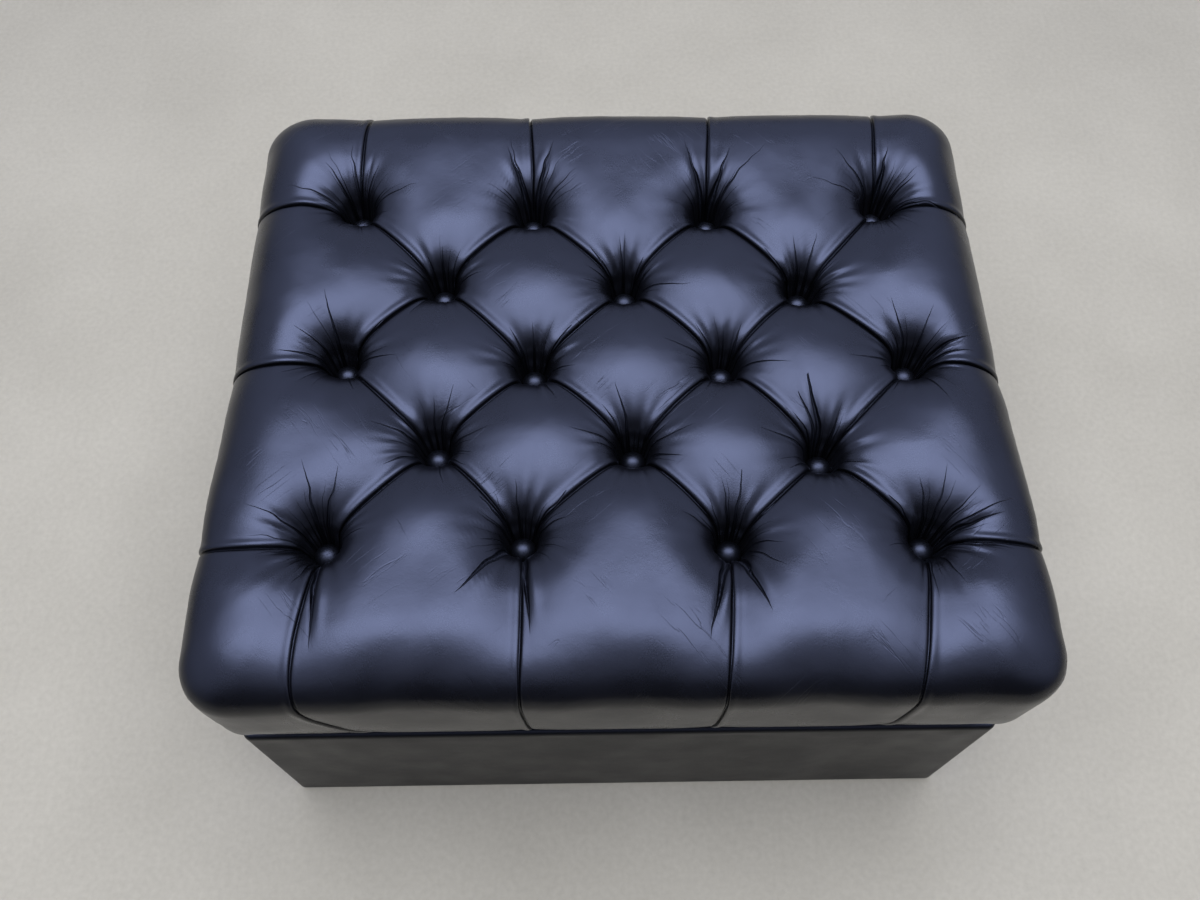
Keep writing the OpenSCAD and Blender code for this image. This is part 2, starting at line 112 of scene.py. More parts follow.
def wander(points, size, seed, octaves=2):
    """Smooth seeded noise, about -1 to 1, made of a few waves in mixed directions."""
    own = np.random.default_rng(seed)
    total = np.zeros(len(points))
    for octave in range(octaves):
        for _ in range(6):
            way = own.normal(size=points.shape[1])
            way *= 2 * math.pi * 1.7**octave / (size * np.linalg.norm(way))
            total += np.sin(points @ way + own.uniform(0, 6.28)) / (2.4 * 1.7**octave)
    return total


# ---------- Form of the lid: a flat chart that folds over the roll and down the sides ----------

def section(turning, side):
    """Out in x and y, height and corner radius from the crown over the roll and down the side to the lip."""
    t = np.linspace(0, 1, 41)
    tilt = math.pi / 2 * turning(t)
    step = np.stack([np.cos(tilt), np.sin(tilt)], 1)
    run = np.vstack([[0, 0], np.cumsum((step[1:] + step[:-1]) / 2, axis=0)]) / (len(t) - 1)
    run *= roll / run[-1, 0]
    out, drop = run.T
    top = np.stack([out, out, crown - drop, CROWN_CORNER * np.tanh(out / CROWN_CORNER)], 1)
    table = np.vstack([top, np.array(side) * MM])
    at = np.r_[0, np.cumsum(np.hypot(np.diff(table[:, :2].mean(1)), np.diff(table[:, 2])))]
    return at, table


# The back rolls over in a quarter circle; the front stays level for longer and turns sharply
back_at, BACK = section(lambda t: t, [
    (65.6, 64.8, 322, 38.5), (64, 61.6, 300, 34), (57.5, 51.5, 262, 24), (53.5, 45.5, 244, 18),
    (51.5, 42.5, 236, 15.5), (48.5, 39.5, 233, 14)])
front_at, FRONT = section(lambda t: 0.3 * t + 0.7 * t**4, [
    (66, 65.5, 350, 40), (65.4, 63.8, 322, 37), (63.5, 60, 300, 33), (57, 50, 262, 24), (53, 44.5, 244, 18),
    (51, 41.5, 236, 15.5), (48.5, 39.5, 233, 14)])
reach = back_at[-1]


def profile(q, y):
    """The section at distance q past the flat of the crown: front or back form, or between them."""
    share = np.clip(q, 0, reach) / reach
    back, front = through(back_at / back_at[-1], BACK, share), through(front_at / front_at[-1], FRONT, share)
    return back + (front - back) * ramp(-60 * MM, 238 * MM, -y)[:, None]


def outline(chart, q, ring):
    """Points and outward directions in plan for chart points at distance q, on the rings given."""
    x, y = np.abs(chart).T
    out_x, out_y, _, corner = ring.T
    far_x, far_y = flat_x + out_x, flat_y + out_y
    share = np.where(y - flat_y >= x - flat_x, x - flat_x, 2 * q - (y - flat_y)) / np.maximum(2 * q, 1e-9)
    first, last, arc = out_x - corner, out_y - corner, corner * math.pi / 2
    along = np.clip(share, 0, 1) * (first + arc + last)
    turn = np.clip((along - first) / np.maximum(corner, 1e-9), 0, math.pi / 2)
    px = flat_x + np.minimum(along, first) + corner * np.sin(turn)
    py = far_y - corner + corner * np.cos(turn) - np.maximum(along - first - arc, 0)
    nx, ny = np.sin(turn), np.cos(turn)
    front, side, top = x <= flat_x, y <= flat_y, q <= 0
    px, py = np.where(front, x, px), np.where(front, far_y, py)
    px, py = np.where(side & ~top, far_x, px), np.where(side, y, py)
    nx, ny = np.where(front, 0, nx), np.where(front, 1, ny)
    nx, ny = np.where(side, 1, nx), np.where(side, 0, ny)
    px, py = np.where(top, x, px), np.where(top, y, py)
    sign = np.where(chart < 0, -1.0, 1.0)
    return np.stack([px, py], 1) * sign, np.stack([nx, ny], 1) * sign


def past_flat(chart):
    """Distance of chart points past the flat of the crown."""
    return np.maximum(np.maximum(np.abs(chart[:, 0]) - flat_x, np.abs(chart[:, 1]) - flat_y), 0)


def place(chart):
    """3-D points and outward normals of the smooth lid at chart points."""
    q = past_flat(chart)
    ring = profile(q, chart[:, 1])
    plan, way = outline(chart, q, ring)
    step = 0.2 * MM
    slope = (profile(q + step, chart[:, 1]) - profile(q - step, chart[:, 1])) / (2 * step)
    rise = slope[:, 0] * way[:, 0] ** 2 + slope[:, 1] * way[:, 1] ** 2
    normal = np.column_stack([way * -slope[:, 2:3], rise])
    normal[q <= 0] = (0, 0, 1)
    return level(plan, ring[:, 2]), unit(normal)


# ---------- Lattice of creases between the buttons ----------

def islands(node, size):
    """Plan centres of a node's separate solids, none of them wider than size."""
    left = np.array([v.co[:] for v in CAD[node].data.vertices])[:, :2]
    found = []
    while len(left):
        near = np.linalg.norm(left - left[0], axis=1) < size
        found.append((left[near].min(0) + left[near].max(0)) / 2)
        left = left[~near]
    return sorted(found, key=lambda c: c[1])


ROWS = (4, 3, 4, 3, 4)
loose = islands("button_caps", 30 * MM)
tufts = {}
for r, count in enumerate(ROWS):
    row = sorted(loose[sum(ROWS[:r]):sum(ROWS[:r + 1])], key=lambda c: c[0])
    tufts.update({(r, i): c for i, c in enumerate(row)})

# How far each pleat strays sideways on its way from the button to the lip
PLEAT_AT = np.array([0, 45, 90, 130, 165, 200, 300]) * MM
STRAY = {
    "front": [(0, -5, -10, -10, -2, 16, 40), (0, 1, 1, 0, 1, 3, 6),
              (0, -3, -7, -11, -12, -13, -16), (0, -8, -16, -23, -25, -27, -30)],
    "back": [(0, 2, 3, 5, 7, 8, 8), (0, 0, -2, -4, -6, -6, -6),
             (0, 2, 5, 7, 8, 8, 8), (0, 1, 5, 10, 14, 16, 16)],
    "left": [(0, -8, -7, -3, 0, 2, 4), (0, -10, -9, -8, -8, -7, -6), (0, -3, 0, 4, 6, 6, 6)],
    "right": [(0, -8, -10, -9, -8, -8, -8), (0, -7, -9, -9, -9, -8, -8), (0, -9, -8, -6, -5, -5, -5)],
}
OUT = {"front": (0, -1), "back": (0, 1), "left": (-1, 0), "right": (1, 0)}
CREASE_N, PLEAT_N = 50, 60

chart_points, edges = [], {}


def add_points(points):
    """Keep chart points, and give their ids."""
    first = len(chart_points)
    chart_points.extend(points)
    return list(range(first, first + len(points)))


corner_id = {}


def corner_of(key, point):
    """The id of a corner, which is made at its first use."""
    if key not in corner_id:
        corner_id[key] = add_points([point])[0]
    return corner_id[key]


def add_edge(a, b, points, at, kind):
    """Keep a run of chart points from corner a to corner b, for the panels on both its sides."""
    ids = [corner_of(a, points[0]), *add_points(points[1:-1]), corner_of(b, points[-1])]
    edges[a, b] = {"points": points, "ids": ids, "at": at, "kind": kind}


def run(*corners):
    """The edges through these corners as one side of a panel."""
    points, ids, at = [], [], []
    legs = list(zip(corners, corners[1:]))
    for n, (a, b) in enumerate(legs):
        edge, back = (edges[a, b], 1) if (a, b) in edges else (edges[b, a], -1)
        run_at = edge["at"] if back > 0 else 1 - edge["at"][::-1]
        skip = 1 if n else 0
        points.append(edge["points"][::back][skip:])
        ids += edge["ids"][::back][skip:]
        at.append((run_at[skip:] + n) / len(legs))
    return {"points": np.concatenate(points), "ids": ids, "at": np.concatenate(at)}


crease_at = graded(CREASE_N, 0.8, 1.08)
for r in (1, 3):
    for i in range(3):
        for dr in (-1, 1):
            for di in (0, 1):
                a, b = tufts[r, i], tufts[r + dr, i + di]
                gap = b - a
                across = np.array([-gap[1], gap[0]]) / np.linalg.norm(gap)
                bow = rng.uniform(-2.5, 2.5) * MM
                line = a + gap * crease_at[:, None] + across * (bow * np.sin(math.pi * crease_at))[:, None]
                add_edge((r, i), (r + dr, i + di), line, crease_at, "crease")

pleat_steps = np.minimum(0.8 * 1.08 ** np.arange(PLEAT_N), 6.2)
pleat_steps[-6:] = (5.5, 5, 4.5, 4, 3.5, 3)
pleat_at = np.r_[0, np.cumsum(pleat_steps)] / pleat_steps.sum()


def add_pleat(side, i, tuft):
    """A pleat from a button straight out and down to the lip, straying as in STRAY."""
    way = np.array(OUT[side], float)
    limit = (flat_x if way[0] else flat_y) + reach
    length = limit - tufts[tuft] @ way
    stray = through(PLEAT_AT, np.array(STRAY[side][i])[:, None] * MM, length * pleat_at)[:, 0]
    line = tufts[tuft] + way * (length * pleat_at)[:, None] + np.abs(way[::-1]) * stray[:, None]
    add_edge(tuft, (side, i), line, pleat_at, "pleat")


for i in range(4):
    add_pleat("front", i, (0, i))
    add_pleat("back", i, (4, i))
for n, r in enumerate((0, 2, 4)):
    add_pleat("left", n, (r, 0))
    add_pleat("right", n, (r, 3))

panels = []


def add_lip(a, b, at):
    """A straight edge along the lip."""
    start, end = (np.array(chart_points[corner_id[k]]) for k in (a, b))
    add_edge(a, b, start + (end - start) * at[:, None], at, "lip")


def add_panel(inner, left, right, outer, first, second):
    """A four-sided panel: its sides, and its creases in two groups that never share a corner."""
    panels.append({"sides": [run(*inner), run(*right), run(*outer), run(*left)],
                   "groups": [first, second]})


double_at = np.r_[crease_at / 2, 0.5 + crease_at[1:] / 2]
for r in (1, 2, 3):
    for i in range(2 if r != 2 else 3):
        low, high = (r - 1, i + (r != 2)), (r + 1, i + (r != 2))
        west, east = (r, i), (r, i + 1)
        add_panel((low, east), (low, west), (east, high), (west, high),
                  [(low, east), (west, high)], [(low, west), (east, high)])
for side, r, inner_r in (("front", 0, 1), ("back", 4, 3)):
    for i in range(3):
        a, b, c = (r, i), (r, i + 1), (inner_r, i)
        add_lip((side, i), (side, i + 1), double_at)
        add_panel((a, c, b), (a, (side, i)), (b, (side, i + 1)), ((side, i), (side, i + 1)),
                  [(a, c), (b, (side, i + 1))], [(c, b), (a, (side, i))])
for side, col, inner_col in (("left", 0, 0), ("right", 3, 2)):
    for n in range(2):
        a, b, c = (2 * n, col), (2 * n + 2, col), (2 * n + 1, inner_col)
        add_lip((side, n), (side, n + 1), double_at)
        add_panel((a, c, b), (a, (side, n)), (b, (side, n + 1)), ((side, n), (side, n + 1)),
                  [(a, c), (b, (side, n + 1))], [(c, b), (a, (side, n))])
for end, r, n in (("front", 0, 0), ("back", 4, 2)):
    for side, col in (("left", 0), ("right", 3)):
        k, turn = (r, col), (end, side)
        corner_of(turn, (OUT[side][0] * (flat_x + reach), OUT[end][1] * (flat_y + reach)))
        add_lip((end, col), turn, pleat_at)
        add_lip((side, n), turn, pleat_at)
        add_panel((k, (end, col)), (k, (side, n)), ((end, col), turn), ((side, n), turn),
                  [(k, (end, col))], [(k, (side, n))])


def patch(sides):
    """Chart points of a grid between four sides, and their ids, sharing the sides' own points."""
    low, right, high, left = (s["points"] for s in sides)
    u, v = sides[0]["at"][None, :, None], sides[3]["at"][:, None, None]
    grid = ((1 - v) * low[None] + v * high[None] + (1 - u) * left[:, None] + u * right[:, None]
            - ((1 - u) * (1 - v) * low[0] + u * (1 - v) * low[-1] + (1 - u) * v * high[0] + u * v * high[-1]))
    rows, cols = grid.shape[:2]
    ids = np.zeros((rows, cols), int)
    ids[0], ids[:, -1], ids[-1], ids[:, 0] = (s["ids"] for s in sides)
    ids[1:-1, 1:-1] = np.reshape(add_points(list(grid[1:-1, 1:-1].reshape(-1, 2))), (rows - 2, cols - 2))
    return grid.reshape(-1, 2), ids


def nearest(points, line):
    """Distance to a line of points, direction from the line, and distance along it."""
    best = np.full(len(points), 9.0)
    away, along = np.zeros((len(points), 2)), np.zeros(len(points))
    done = 0.0
    for a, b in zip(line[:-1:2], line[2::2]):
        ab = b - a
        length = np.linalg.norm(ab)
        t = np.clip((points - a) @ ab / length**2, 0, 1)
        off = points - a - t[:, None] * ab
        d = np.linalg.norm(off, axis=1)
        closer = d < best
        best[closer], along[closer] = d[closer], done + t[closer] * length
        away[closer] = off[closer] / np.maximum(d[closer], 1e-9)[:, None]
        done += length
    return best, away, along


# ---------- Depth of the tufting ----------
pit_depth = crown - seat + 2 * MM
crease_depth = 12.5 * MM
CREASE_REACH = 58.9 * MM
# Folds that run out from a button: heading in degrees, start, length, depth and half width in mm
FOLDS = {
    (0, 0): [(-88, 8, 95, 3.2, 4), (-112, 10, 50, 2, 3.5), (-60, 12, 45, 1.5, 3.5), (200, 10, 50, 1.8, 3.5),
             (165, 10, 55, 1.8, 3.5), (150, 12, 60, 1.6, 3)],
    (0, 1): [(-132, 9, 75, 3.6, 4), (-84, 10, 88, 3.4, 4), (-112, 12, 50, 1.6, 3), (-60, 12, 48, 1.5, 3)],
    (0, 2): [(-106, 10, 92, 3.6, 4), (-70, 10, 72, 3.2, 4), (-128, 12, 50, 1.6, 3), (-52, 12, 50, 1.5, 3)],
    (0, 3): [(-76, 10, 60, 2, 3.5), (-108, 10, 55, 1.6, 3), (14, 12, 62, 2.2, 3.5), (-14, 12, 66, 2.2, 3.5),
             (28, 12, 55, 1.8, 3), (-28, 12, 55, 1.8, 3), (44, 12, 45, 1.6, 3)],
    (2, 0): [(160, 12, 50, 2, 3.5), (142, 12, 45, 1.8, 3), (200, 12, 45, 1.8, 3)],
    (2, 3): [(20, 12, 58, 2.4, 3.5), (36, 12, 50, 2, 3), (-18, 12, 55, 2, 3), (52, 14, 40, 1.6, 3)],
    (4, 0): [(75, 12, 60, 2, 3.5), (105, 12, 50, 1.8, 3), (160, 12, 40, 1.6, 3)],
    (4, 1): [(110, 12, 70, 2.4, 3.5), (74, 12, 75, 2.4, 3.5), (60, 12, 55, 1.8, 3), (125, 12, 50, 1.8, 3)],
    (4, 2): [(106, 12, 75, 2.6, 3.5), (70, 12, 70, 2.2, 3.5), (120, 12, 50, 1.8, 3), (58, 12, 50, 1.8, 3)],
    (4, 3): [(76, 12, 60, 2.2, 3.5), (110, 12, 60, 2, 3), (20, 12, 45, 1.8, 3), (-15, 12, 50, 1.8, 3)],
    (3, 1): [(88, 12, 50, 1.6, 3)],
    (2, 2): [(80, 12, 45, 1.6, 3)],
    (1, 2): [(98, 12, 92, 2.2, 3)],
}
# Folds this deep, in mm, also get a crisp floor in the leather's bump
MAIN_FOLD = 2.2


def lot_of(tuft):
    """A number for each button that lets the leather's shader tell them apart."""
    return 0.1 * (4 * tuft[0] + tuft[1])


def radial(off, r, tuft):
    """Fine folds gathered into a button, as height."""
    angle = np.arctan2(off[:, 1], off[:, 0])
    own = np.random.default_rng(100 + 10 * tuft[0] + tuft[1])
    height = np.zeros(len(off))
    for waves in (7, 11, 15, 18, 22, 25):
        fold = np.cos(waves * angle + own.uniform(0, 6.28) + own.uniform(-8, 8) * r)
        height += fold * own.uniform(0.3, 0.7)
    return height


def fan(off, tuft):
    """How far, in mm, the wrinkles run from a button: longest to the back and, at the border, outwards."""
    own = np.random.default_rng(300 + 10 * tuft[0] + tuft[1])
    angle = np.arctan2(off[:, 1], off[:, 0])
    uneven = sum(np.cos(n * angle + own.uniform(0, 6.28)) for n in (3, 5, 8, 13)) / 4
    lean, outward = np.sin(angle), np.full(len(off), -1.0)
    if tuft[1] in (0, ROWS[tuft[0]] - 1) and ROWS[tuft[0]] == 4:
        outward = np.cos(angle) * (1 if tuft[1] else -1)
    if tuft[0] == 4:
        outward = np.maximum(outward, np.sin(angle))
    lean = np.maximum(lean, outward)
    if tuft[0] == 0:
        lean = np.maximum(lean, -0.2)
    return np.clip(46 + 20 * lean + 24 * uneven, 8, 54 + 26 * np.clip(outward, 0, 1))


def seam(points, middle, edge):
    """What a crease or pleat does to a panel: its distance, how far it draws the stuffing down (0 to 1),
    how far the leather sinks and slides at its lapped lip, and how strong it is there."""
    line = edge["points"]
    d, away, along = nearest(points, line)
    mid = line.mean(0)
    over = middle[1] > mid[1]
    if edge["kind"] == "pleat":
        fade = 1 - 0.55 * ramp(8 * MM, 55 * MM, along) - 0.35 * ramp(45 * MM, 130 * MM, along)
        wide = CREASE_REACH * (1 - 0.35 * ramp(10 * MM, 80 * MM, along))
        drawn = ramp(6 * MM, 16 * MM, along) * (1 - 0.3 * ramp(20 * MM, 120 * MM, along))
        run_x, run_y = abs(line[-1] - line[0])
        over = over if run_x > run_y else abs(middle[0]) > abs(mid[0])
    else:
        to_end = np.linalg.norm(np.diff(line, axis=0), axis=1).sum() - along
        fade, wide, drawn = 1, CREASE_REACH, ramp(6 * MM, 16 * MM, np.minimum(along, to_end))
    lift, push = (1.5 * MM, -2.8 * MM) if over else (0.1 * MM, 0.6 * MM)
    sunk = drawn * (4.2 * MM * hump(d, 0, 1.2 * MM) - lift * hump(d, 3.8 * MM, 2.8 * MM))
    slide = away * (drawn * push * ramp(0, 2.6 * MM, d) * hump(d, 0, 6 * MM))[:, None]
    return d, fade * np.clip(1 - d / wide, 0, 1) ** 2, sunk, slide, drawn * np.exp(-d / (4 * MM))


def stuffing(points, middle, edge_gap):
    """How far a panel sinks with its fill: swollen at the roll, a little uneven, tucked at the corners."""
    over_x, over_y = (np.abs(points) - (flat_x, flat_y)).T
    beyond = np.maximum(over_x, over_y)
    swell = 3 * MM * ramp(-75 * MM, 0, beyond) * (1 - ramp(0, 85 * MM, beyond))
    swell *= ramp(5 * MM, 70 * MM, edge_gap)
    seed = int(1000 * abs(middle[0]) + 77 * abs(middle[1]) * 100) % 9973
    uneven = 0.35 * MM * wander(points, 120 * MM, seed) + 0.05 * MM * wander(points, 34 * MM, seed + 1)
    uneven *= ramp(6 * MM, 40 * MM, edge_gap) * (1 - ramp(60 * MM, 200 * MM, beyond))
    # The front panels turn over sooner in their middle
    fall = 3.5 * MM * ramp(0, 50 * MM, -points[:, 1] - flat_y) * (1 - ramp(60 * MM, 150 * MM, beyond))
    fall *= (1 - ramp(-40 * MM, 20 * MM, over_x)) * ramp(10 * MM, 70 * MM, edge_gap)
    sunk = fall - swell - uneven
    if all(np.abs(points).max(0) > (flat_x + 0.9 * reach, flat_y + 0.9 * reach)):
        off = over_x - over_y
        tucks = ((5, -22, 9), (-1.2, -45, 16), (1.4, 34, 10))
        sunk += MM * ramp(105 * MM, 170 * MM, beyond) * sum(
            deep * hump(off, at * MM, wide * MM) for deep, at, wide in tucks)
    return sunk


def fold(off, heading, start, length, depth, wide):
    """How far the leather sinks in one of FOLDS, at offsets from its button."""
    way = np.array([math.cos(math.radians(heading)), math.sin(math.radians(heading))])
    start, length, wide = start * MM, length * MM, wide * MM
    along, across = off @ way, off @ np.array([-way[1], way[0]])
    window = ramp(start, start + 8 * MM, along) * (1 - ramp(0.45 * length, length, along))
    taper = 1 - 0.6 * np.clip(along / length, 0, 1)
    shape = np.exp(-np.abs(across) / (0.5 * wide * taper)) - 0.4 * hump(across, 1.6 * wide, wide)
    return 1.25 * depth * MM * window * shape


def relief(points, panel):
    """How far the leather sinks at chart points of a panel, how far it slides, and what its finish needs."""
    count, middle = len(points), points.mean(0)
    sunk, slide = np.zeros(count), np.zeros((count, 2))
    near_crease, edge_gap = np.zeros(count), np.full(count, 1.0)
    for group in panel["groups"]:
        pull = np.zeros(count)
        for a, b in group:
            edge = edges[a, b] if (a, b) in edges else edges[b, a]
            d, dip, sink, push, strong = seam(points, middle, edge)
            edge_gap, near_crease = np.minimum(edge_gap, d), np.maximum(near_crease, strong)
            pull = np.maximum(pull, dip)
            sunk += sink
            slide += push
        sunk += crease_depth * pull
    sunk += stuffing(points, middle, edge_gap)
    ruck, lot, tuft_way = np.zeros(count), np.zeros(count), np.zeros((count, 2))
    nearest_r, second_r = np.full(count, 9.0), np.full(count, 9.0)
    for tuft in {k for group in panel["groups"] for e in group for k in e if k in tufts}:
        off = points - tufts[tuft]
        r = np.linalg.norm(off, axis=1)
        far = fan(off, tuft)
        gather = ramp(11 * MM, 15 * MM, r) * hump(np.maximum(r - 15 * MM, 0), 0, 24 * MM)
        gather *= 0.8 * MM * np.clip(far / 60, 0.2, 1)
        sunk += radial(off, r, tuft) * gather * (1 - near_crease)
        sunk += (pit_depth - 2 * crease_depth) * hump(r, 0, 15 * MM)
        pit = 1 - ramp(9 * MM, 17.5 * MM, r)
        sunk = sunk * (1 - pit) + pit_depth * pit
        slide *= ramp(6 * MM, 13 * MM, r)[:, None]
        for one in FOLDS.get(tuft, []):
            sunk += fold(off, *one)
        closer = r < nearest_r
        second_r = np.where(closer, nearest_r, np.minimum(second_r, r))
        tuft_way[closer], nearest_r[closer] = off[closer], r[closer]
        ruck[closer], lot[closer] = far[closer], lot_of(tuft)
    # No wrinkles where two buttons are equally near, because their rays would cross there
    ruck *= ramp(7 * MM, 18 * MM, second_r - nearest_r)
    return sunk, slide, ruck, np.column_stack([tuft_way / MM, lot]), near_crease


def build_cover():
    """The tufted cushion as one closed form: panels, lip, hem and the hollow that takes the frame."""
    grids = [patch(panel["sides"]) for panel in panels]
    count = len(chart_points)
    spot, hits = np.zeros((count, 3)), np.zeros(count)
    finish = np.zeros((count, 5))
    faces = []
    for panel, (points, ids) in zip(panels, grids):
        sunk, slide, ruck, way, crease = relief(points, panel)
        on, normal = place(points + slide)
        np.add.at(spot, ids.ravel(), on - normal * sunk[:, None])
        np.add.at(hits, ids.ravel(), 1)
        finish[ids.ravel()] = np.column_stack([ruck, way, crease])
        faces += cells(ids).reshape(-1, 4).tolist()
    spot /= np.maximum(hits, 1)[:, None]
    # Once round the lip, past the ends of all the pleats and the four corners
    ends = [*(("front", i) for i in range(4)), ("front", "right"), *(("right", n) for n in range(3)),
            ("back", "right"), *(("back", i) for i in (3, 2, 1, 0)), ("back", "left"),
            *(("left", n) for n in (2, 1, 0)), ("front", "left"), ("front", 0)]
    ring = run(*ends)["ids"][:-1]
    chart = np.array([chart_points[k] for k in ring])
    # The hollow under the lid: round the well up to the rails, out under them, and up over the deck
    clear = 0.1 * MM
    frame_ring = (deck_high.x + clear, deck_high.y + clear, 14 * MM)
    well_ring = (tray_high.x, tray_high.y, 2 * MM)
    steps = [(*well_ring, lip), (*well_ring, rail_low.z), (*frame_ring, rail_low.z),
             (*frame_ring, deck_high.z + clear)]
    verts, loops = [spot], [np.array(ring)]
    total = count
    for half_x, half_y, corner, z in steps:
        row = np.tile([half_x - flat_x, half_y - flat_y, z, corner], (len(ring), 1))
        plan, _ = outline(chart, np.full(len(ring), reach), row)
        verts.append(level(plan, z))
        loops.append(np.arange(total, total + len(ring)))
        total += len(ring)
    verts.append([[0, 0, deck_high.z + clear]])
    for a, b in zip(loops, loops[1:]):
        faces += np.stack([a, b, np.roll(b, -1), np.roll(a, -1)], -1).tolist()
    faces += np.stack([loops[-1], np.roll(loops[-1], -1), np.full(len(ring), total)], -1).tolist()
    cover = mesh_piece("tufted_cushion", np.concatenate(verts), faces)
    finish = np.pad(finish, ((0, total + 1 - count), (0, 0)))
    # The crease value also paints shade into the leather's colour along the creases and pleats, and ruck sets
    # how far the painted shade of the gathers reaches
    for name, kind, key, first, last in (("ruck", "FLOAT", "value", 0, 1), ("crease", "FLOAT", "value", 4, 5),
                                         ("tuft", "FLOAT_VECTOR", "vector", 1, 4)):
        made = cover.data.attributes.new(name, kind, "POINT")
        made.data.foreach_set(key, finish[:, first:last].astype(np.float32).ravel())
    return cover


def mesh_piece(name, verts, faces, smooth=True):
    """A closed mesh object with its normals turned outwards."""
    data = bpy.data.meshes.new(name)
    data.from_pydata(np.asarray(verts).tolist(), [], faces)
    data.polygons.foreach_set("use_smooth", [smooth] * len(data.polygons))
    tidy = bmesh.new()
    tidy.from_mesh(data)
    bmesh.ops.recalc_face_normals(tidy, faces=tidy.faces)
    tidy.to_mesh(data)
    tidy.free()
    piece = bpy.data.objects.new(name, data)
    bpy.context.scene.collection.objects.link(piece)
    return piece


# ---------- Covered buttons ----------

def lathe(rings, count):
    """Vertices and faces turned about Z from (radius, height) pairs, closed at both ends."""
    angle = np.linspace(0, 2 * math.pi, count, endpoint=False)
    verts = [[0, 0, rings[0][1]]]
    for r, z in rings:
        verts += level(np.column_stack([r * np.cos(angle), r * np.sin(angle)]), z).tolist()
    verts.append([0, 0, rings[-1][1]])
    faces = [(0, 1 + (k + 1) % count, 1 + k) for k in range(count)]
    for row in range(len(rings) - 1):
        low, high = 1 + row * count, 1 + (row + 1) * count
        faces += [(low + k, low + (k + 1) % count, high + (k + 1) % count, high + k) for k in range(count)]
    last = 1 + (len(rings) - 1) * count
    faces += [(last + k, last + (k + 1) % count, len(verts) - 1) for k in range(count)]
    return np.array(verts), faces


def build_buttons():
    """Eighteen domed buttons, each tilted a little, with leather gathered under the rim."""
    radius = 11 * MM
    height = cap_high.z - cap_low.z
    rise = height + 0.5 * MM
    ball = (radius**2 + rise**2) / (2 * rise)
    edge = math.degrees(math.asin(radius / ball))
    dome = [(ball * math.sin(a), cap_low.z + 1.6 * MM + rise - ball * (1 - math.cos(a)))
            for a in np.radians(np.linspace(edge, 3, 14))]
    rings = [(radius - 2 * MM, cap_low.z), (radius - 0.5 * MM, cap_low.z + 0.3 * MM), *dome]
    verts, faces = [], []
    for n, centre in enumerate(tufts.values()):
        own, sides = lathe(rings, 48)
        angle = np.arctan2(own[:, 1], own[:, 0])
        skirt = 1 - ramp(cap_low.z + 0.6 * MM, cap_low.z + 3.2 * MM, own[:, 2])
        shrink = 1 - 0.02 * skirt * (1 + np.sin(17 * angle + n))
        own[:, :2] *= shrink[:, None]
        lean, sway = np.radians(rng.uniform(-3, 3, 2))
        tilt = Matrix.Rotation(lean, 3, "X") @ Matrix.Rotation(sway, 3, "Y")
        pivot = np.array([0, 0, cap_low.z + 1 * MM])
        own = (own - pivot) @ np.array(tilt).T + pivot + np.array([*centre, 0.6 * MM])
        faces += [tuple(v + len(verts) for v in face) for face in sides]
        verts += own.tolist()
    return mesh_piece("covered_buttons", verts, faces)


# ---------- Leather of the base ----------

def strip(rows, thickness):
    """A closed shell from rows of 3-D points, thickened inwards by a thickness for each row."""
    rows = np.array(rows)
    normal = unit(np.cross(np.gradient(rows, axis=1), np.gradient(rows, axis=0)))
    inner = rows - normal * np.array(thickness)[:, None, None]
    count_v, count_u = rows.shape[:2]
    ids = np.arange(count_u * count_v).reshape(count_v, count_u)
    over = cells(ids).reshape(-1, 4)
    rim = np.array([*ids[0], *ids[1:, -1], *ids[-1, -2::-1], *ids[-2:0:-1, 0]])
    faces = over.tolist() + (over[:, ::-1] + ids.size).tolist() + band(rim, rim + ids.size)
    return np.concatenate([rows.reshape(-1, 3), inner.reshape(-1, 3)]), faces


base_low, base_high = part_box("base_front_leather")
side_x, front_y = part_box("base_right_leather")[1].x, -base_low.y
well_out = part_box("box_lining_walls")[1]
BASE_CORNER, RIM_ROLL, CORNER_LEG = 8 * MM, 5 * MM, 22 * MM
PADDED, BARE = 6.6 * MM, 1.9 * MM


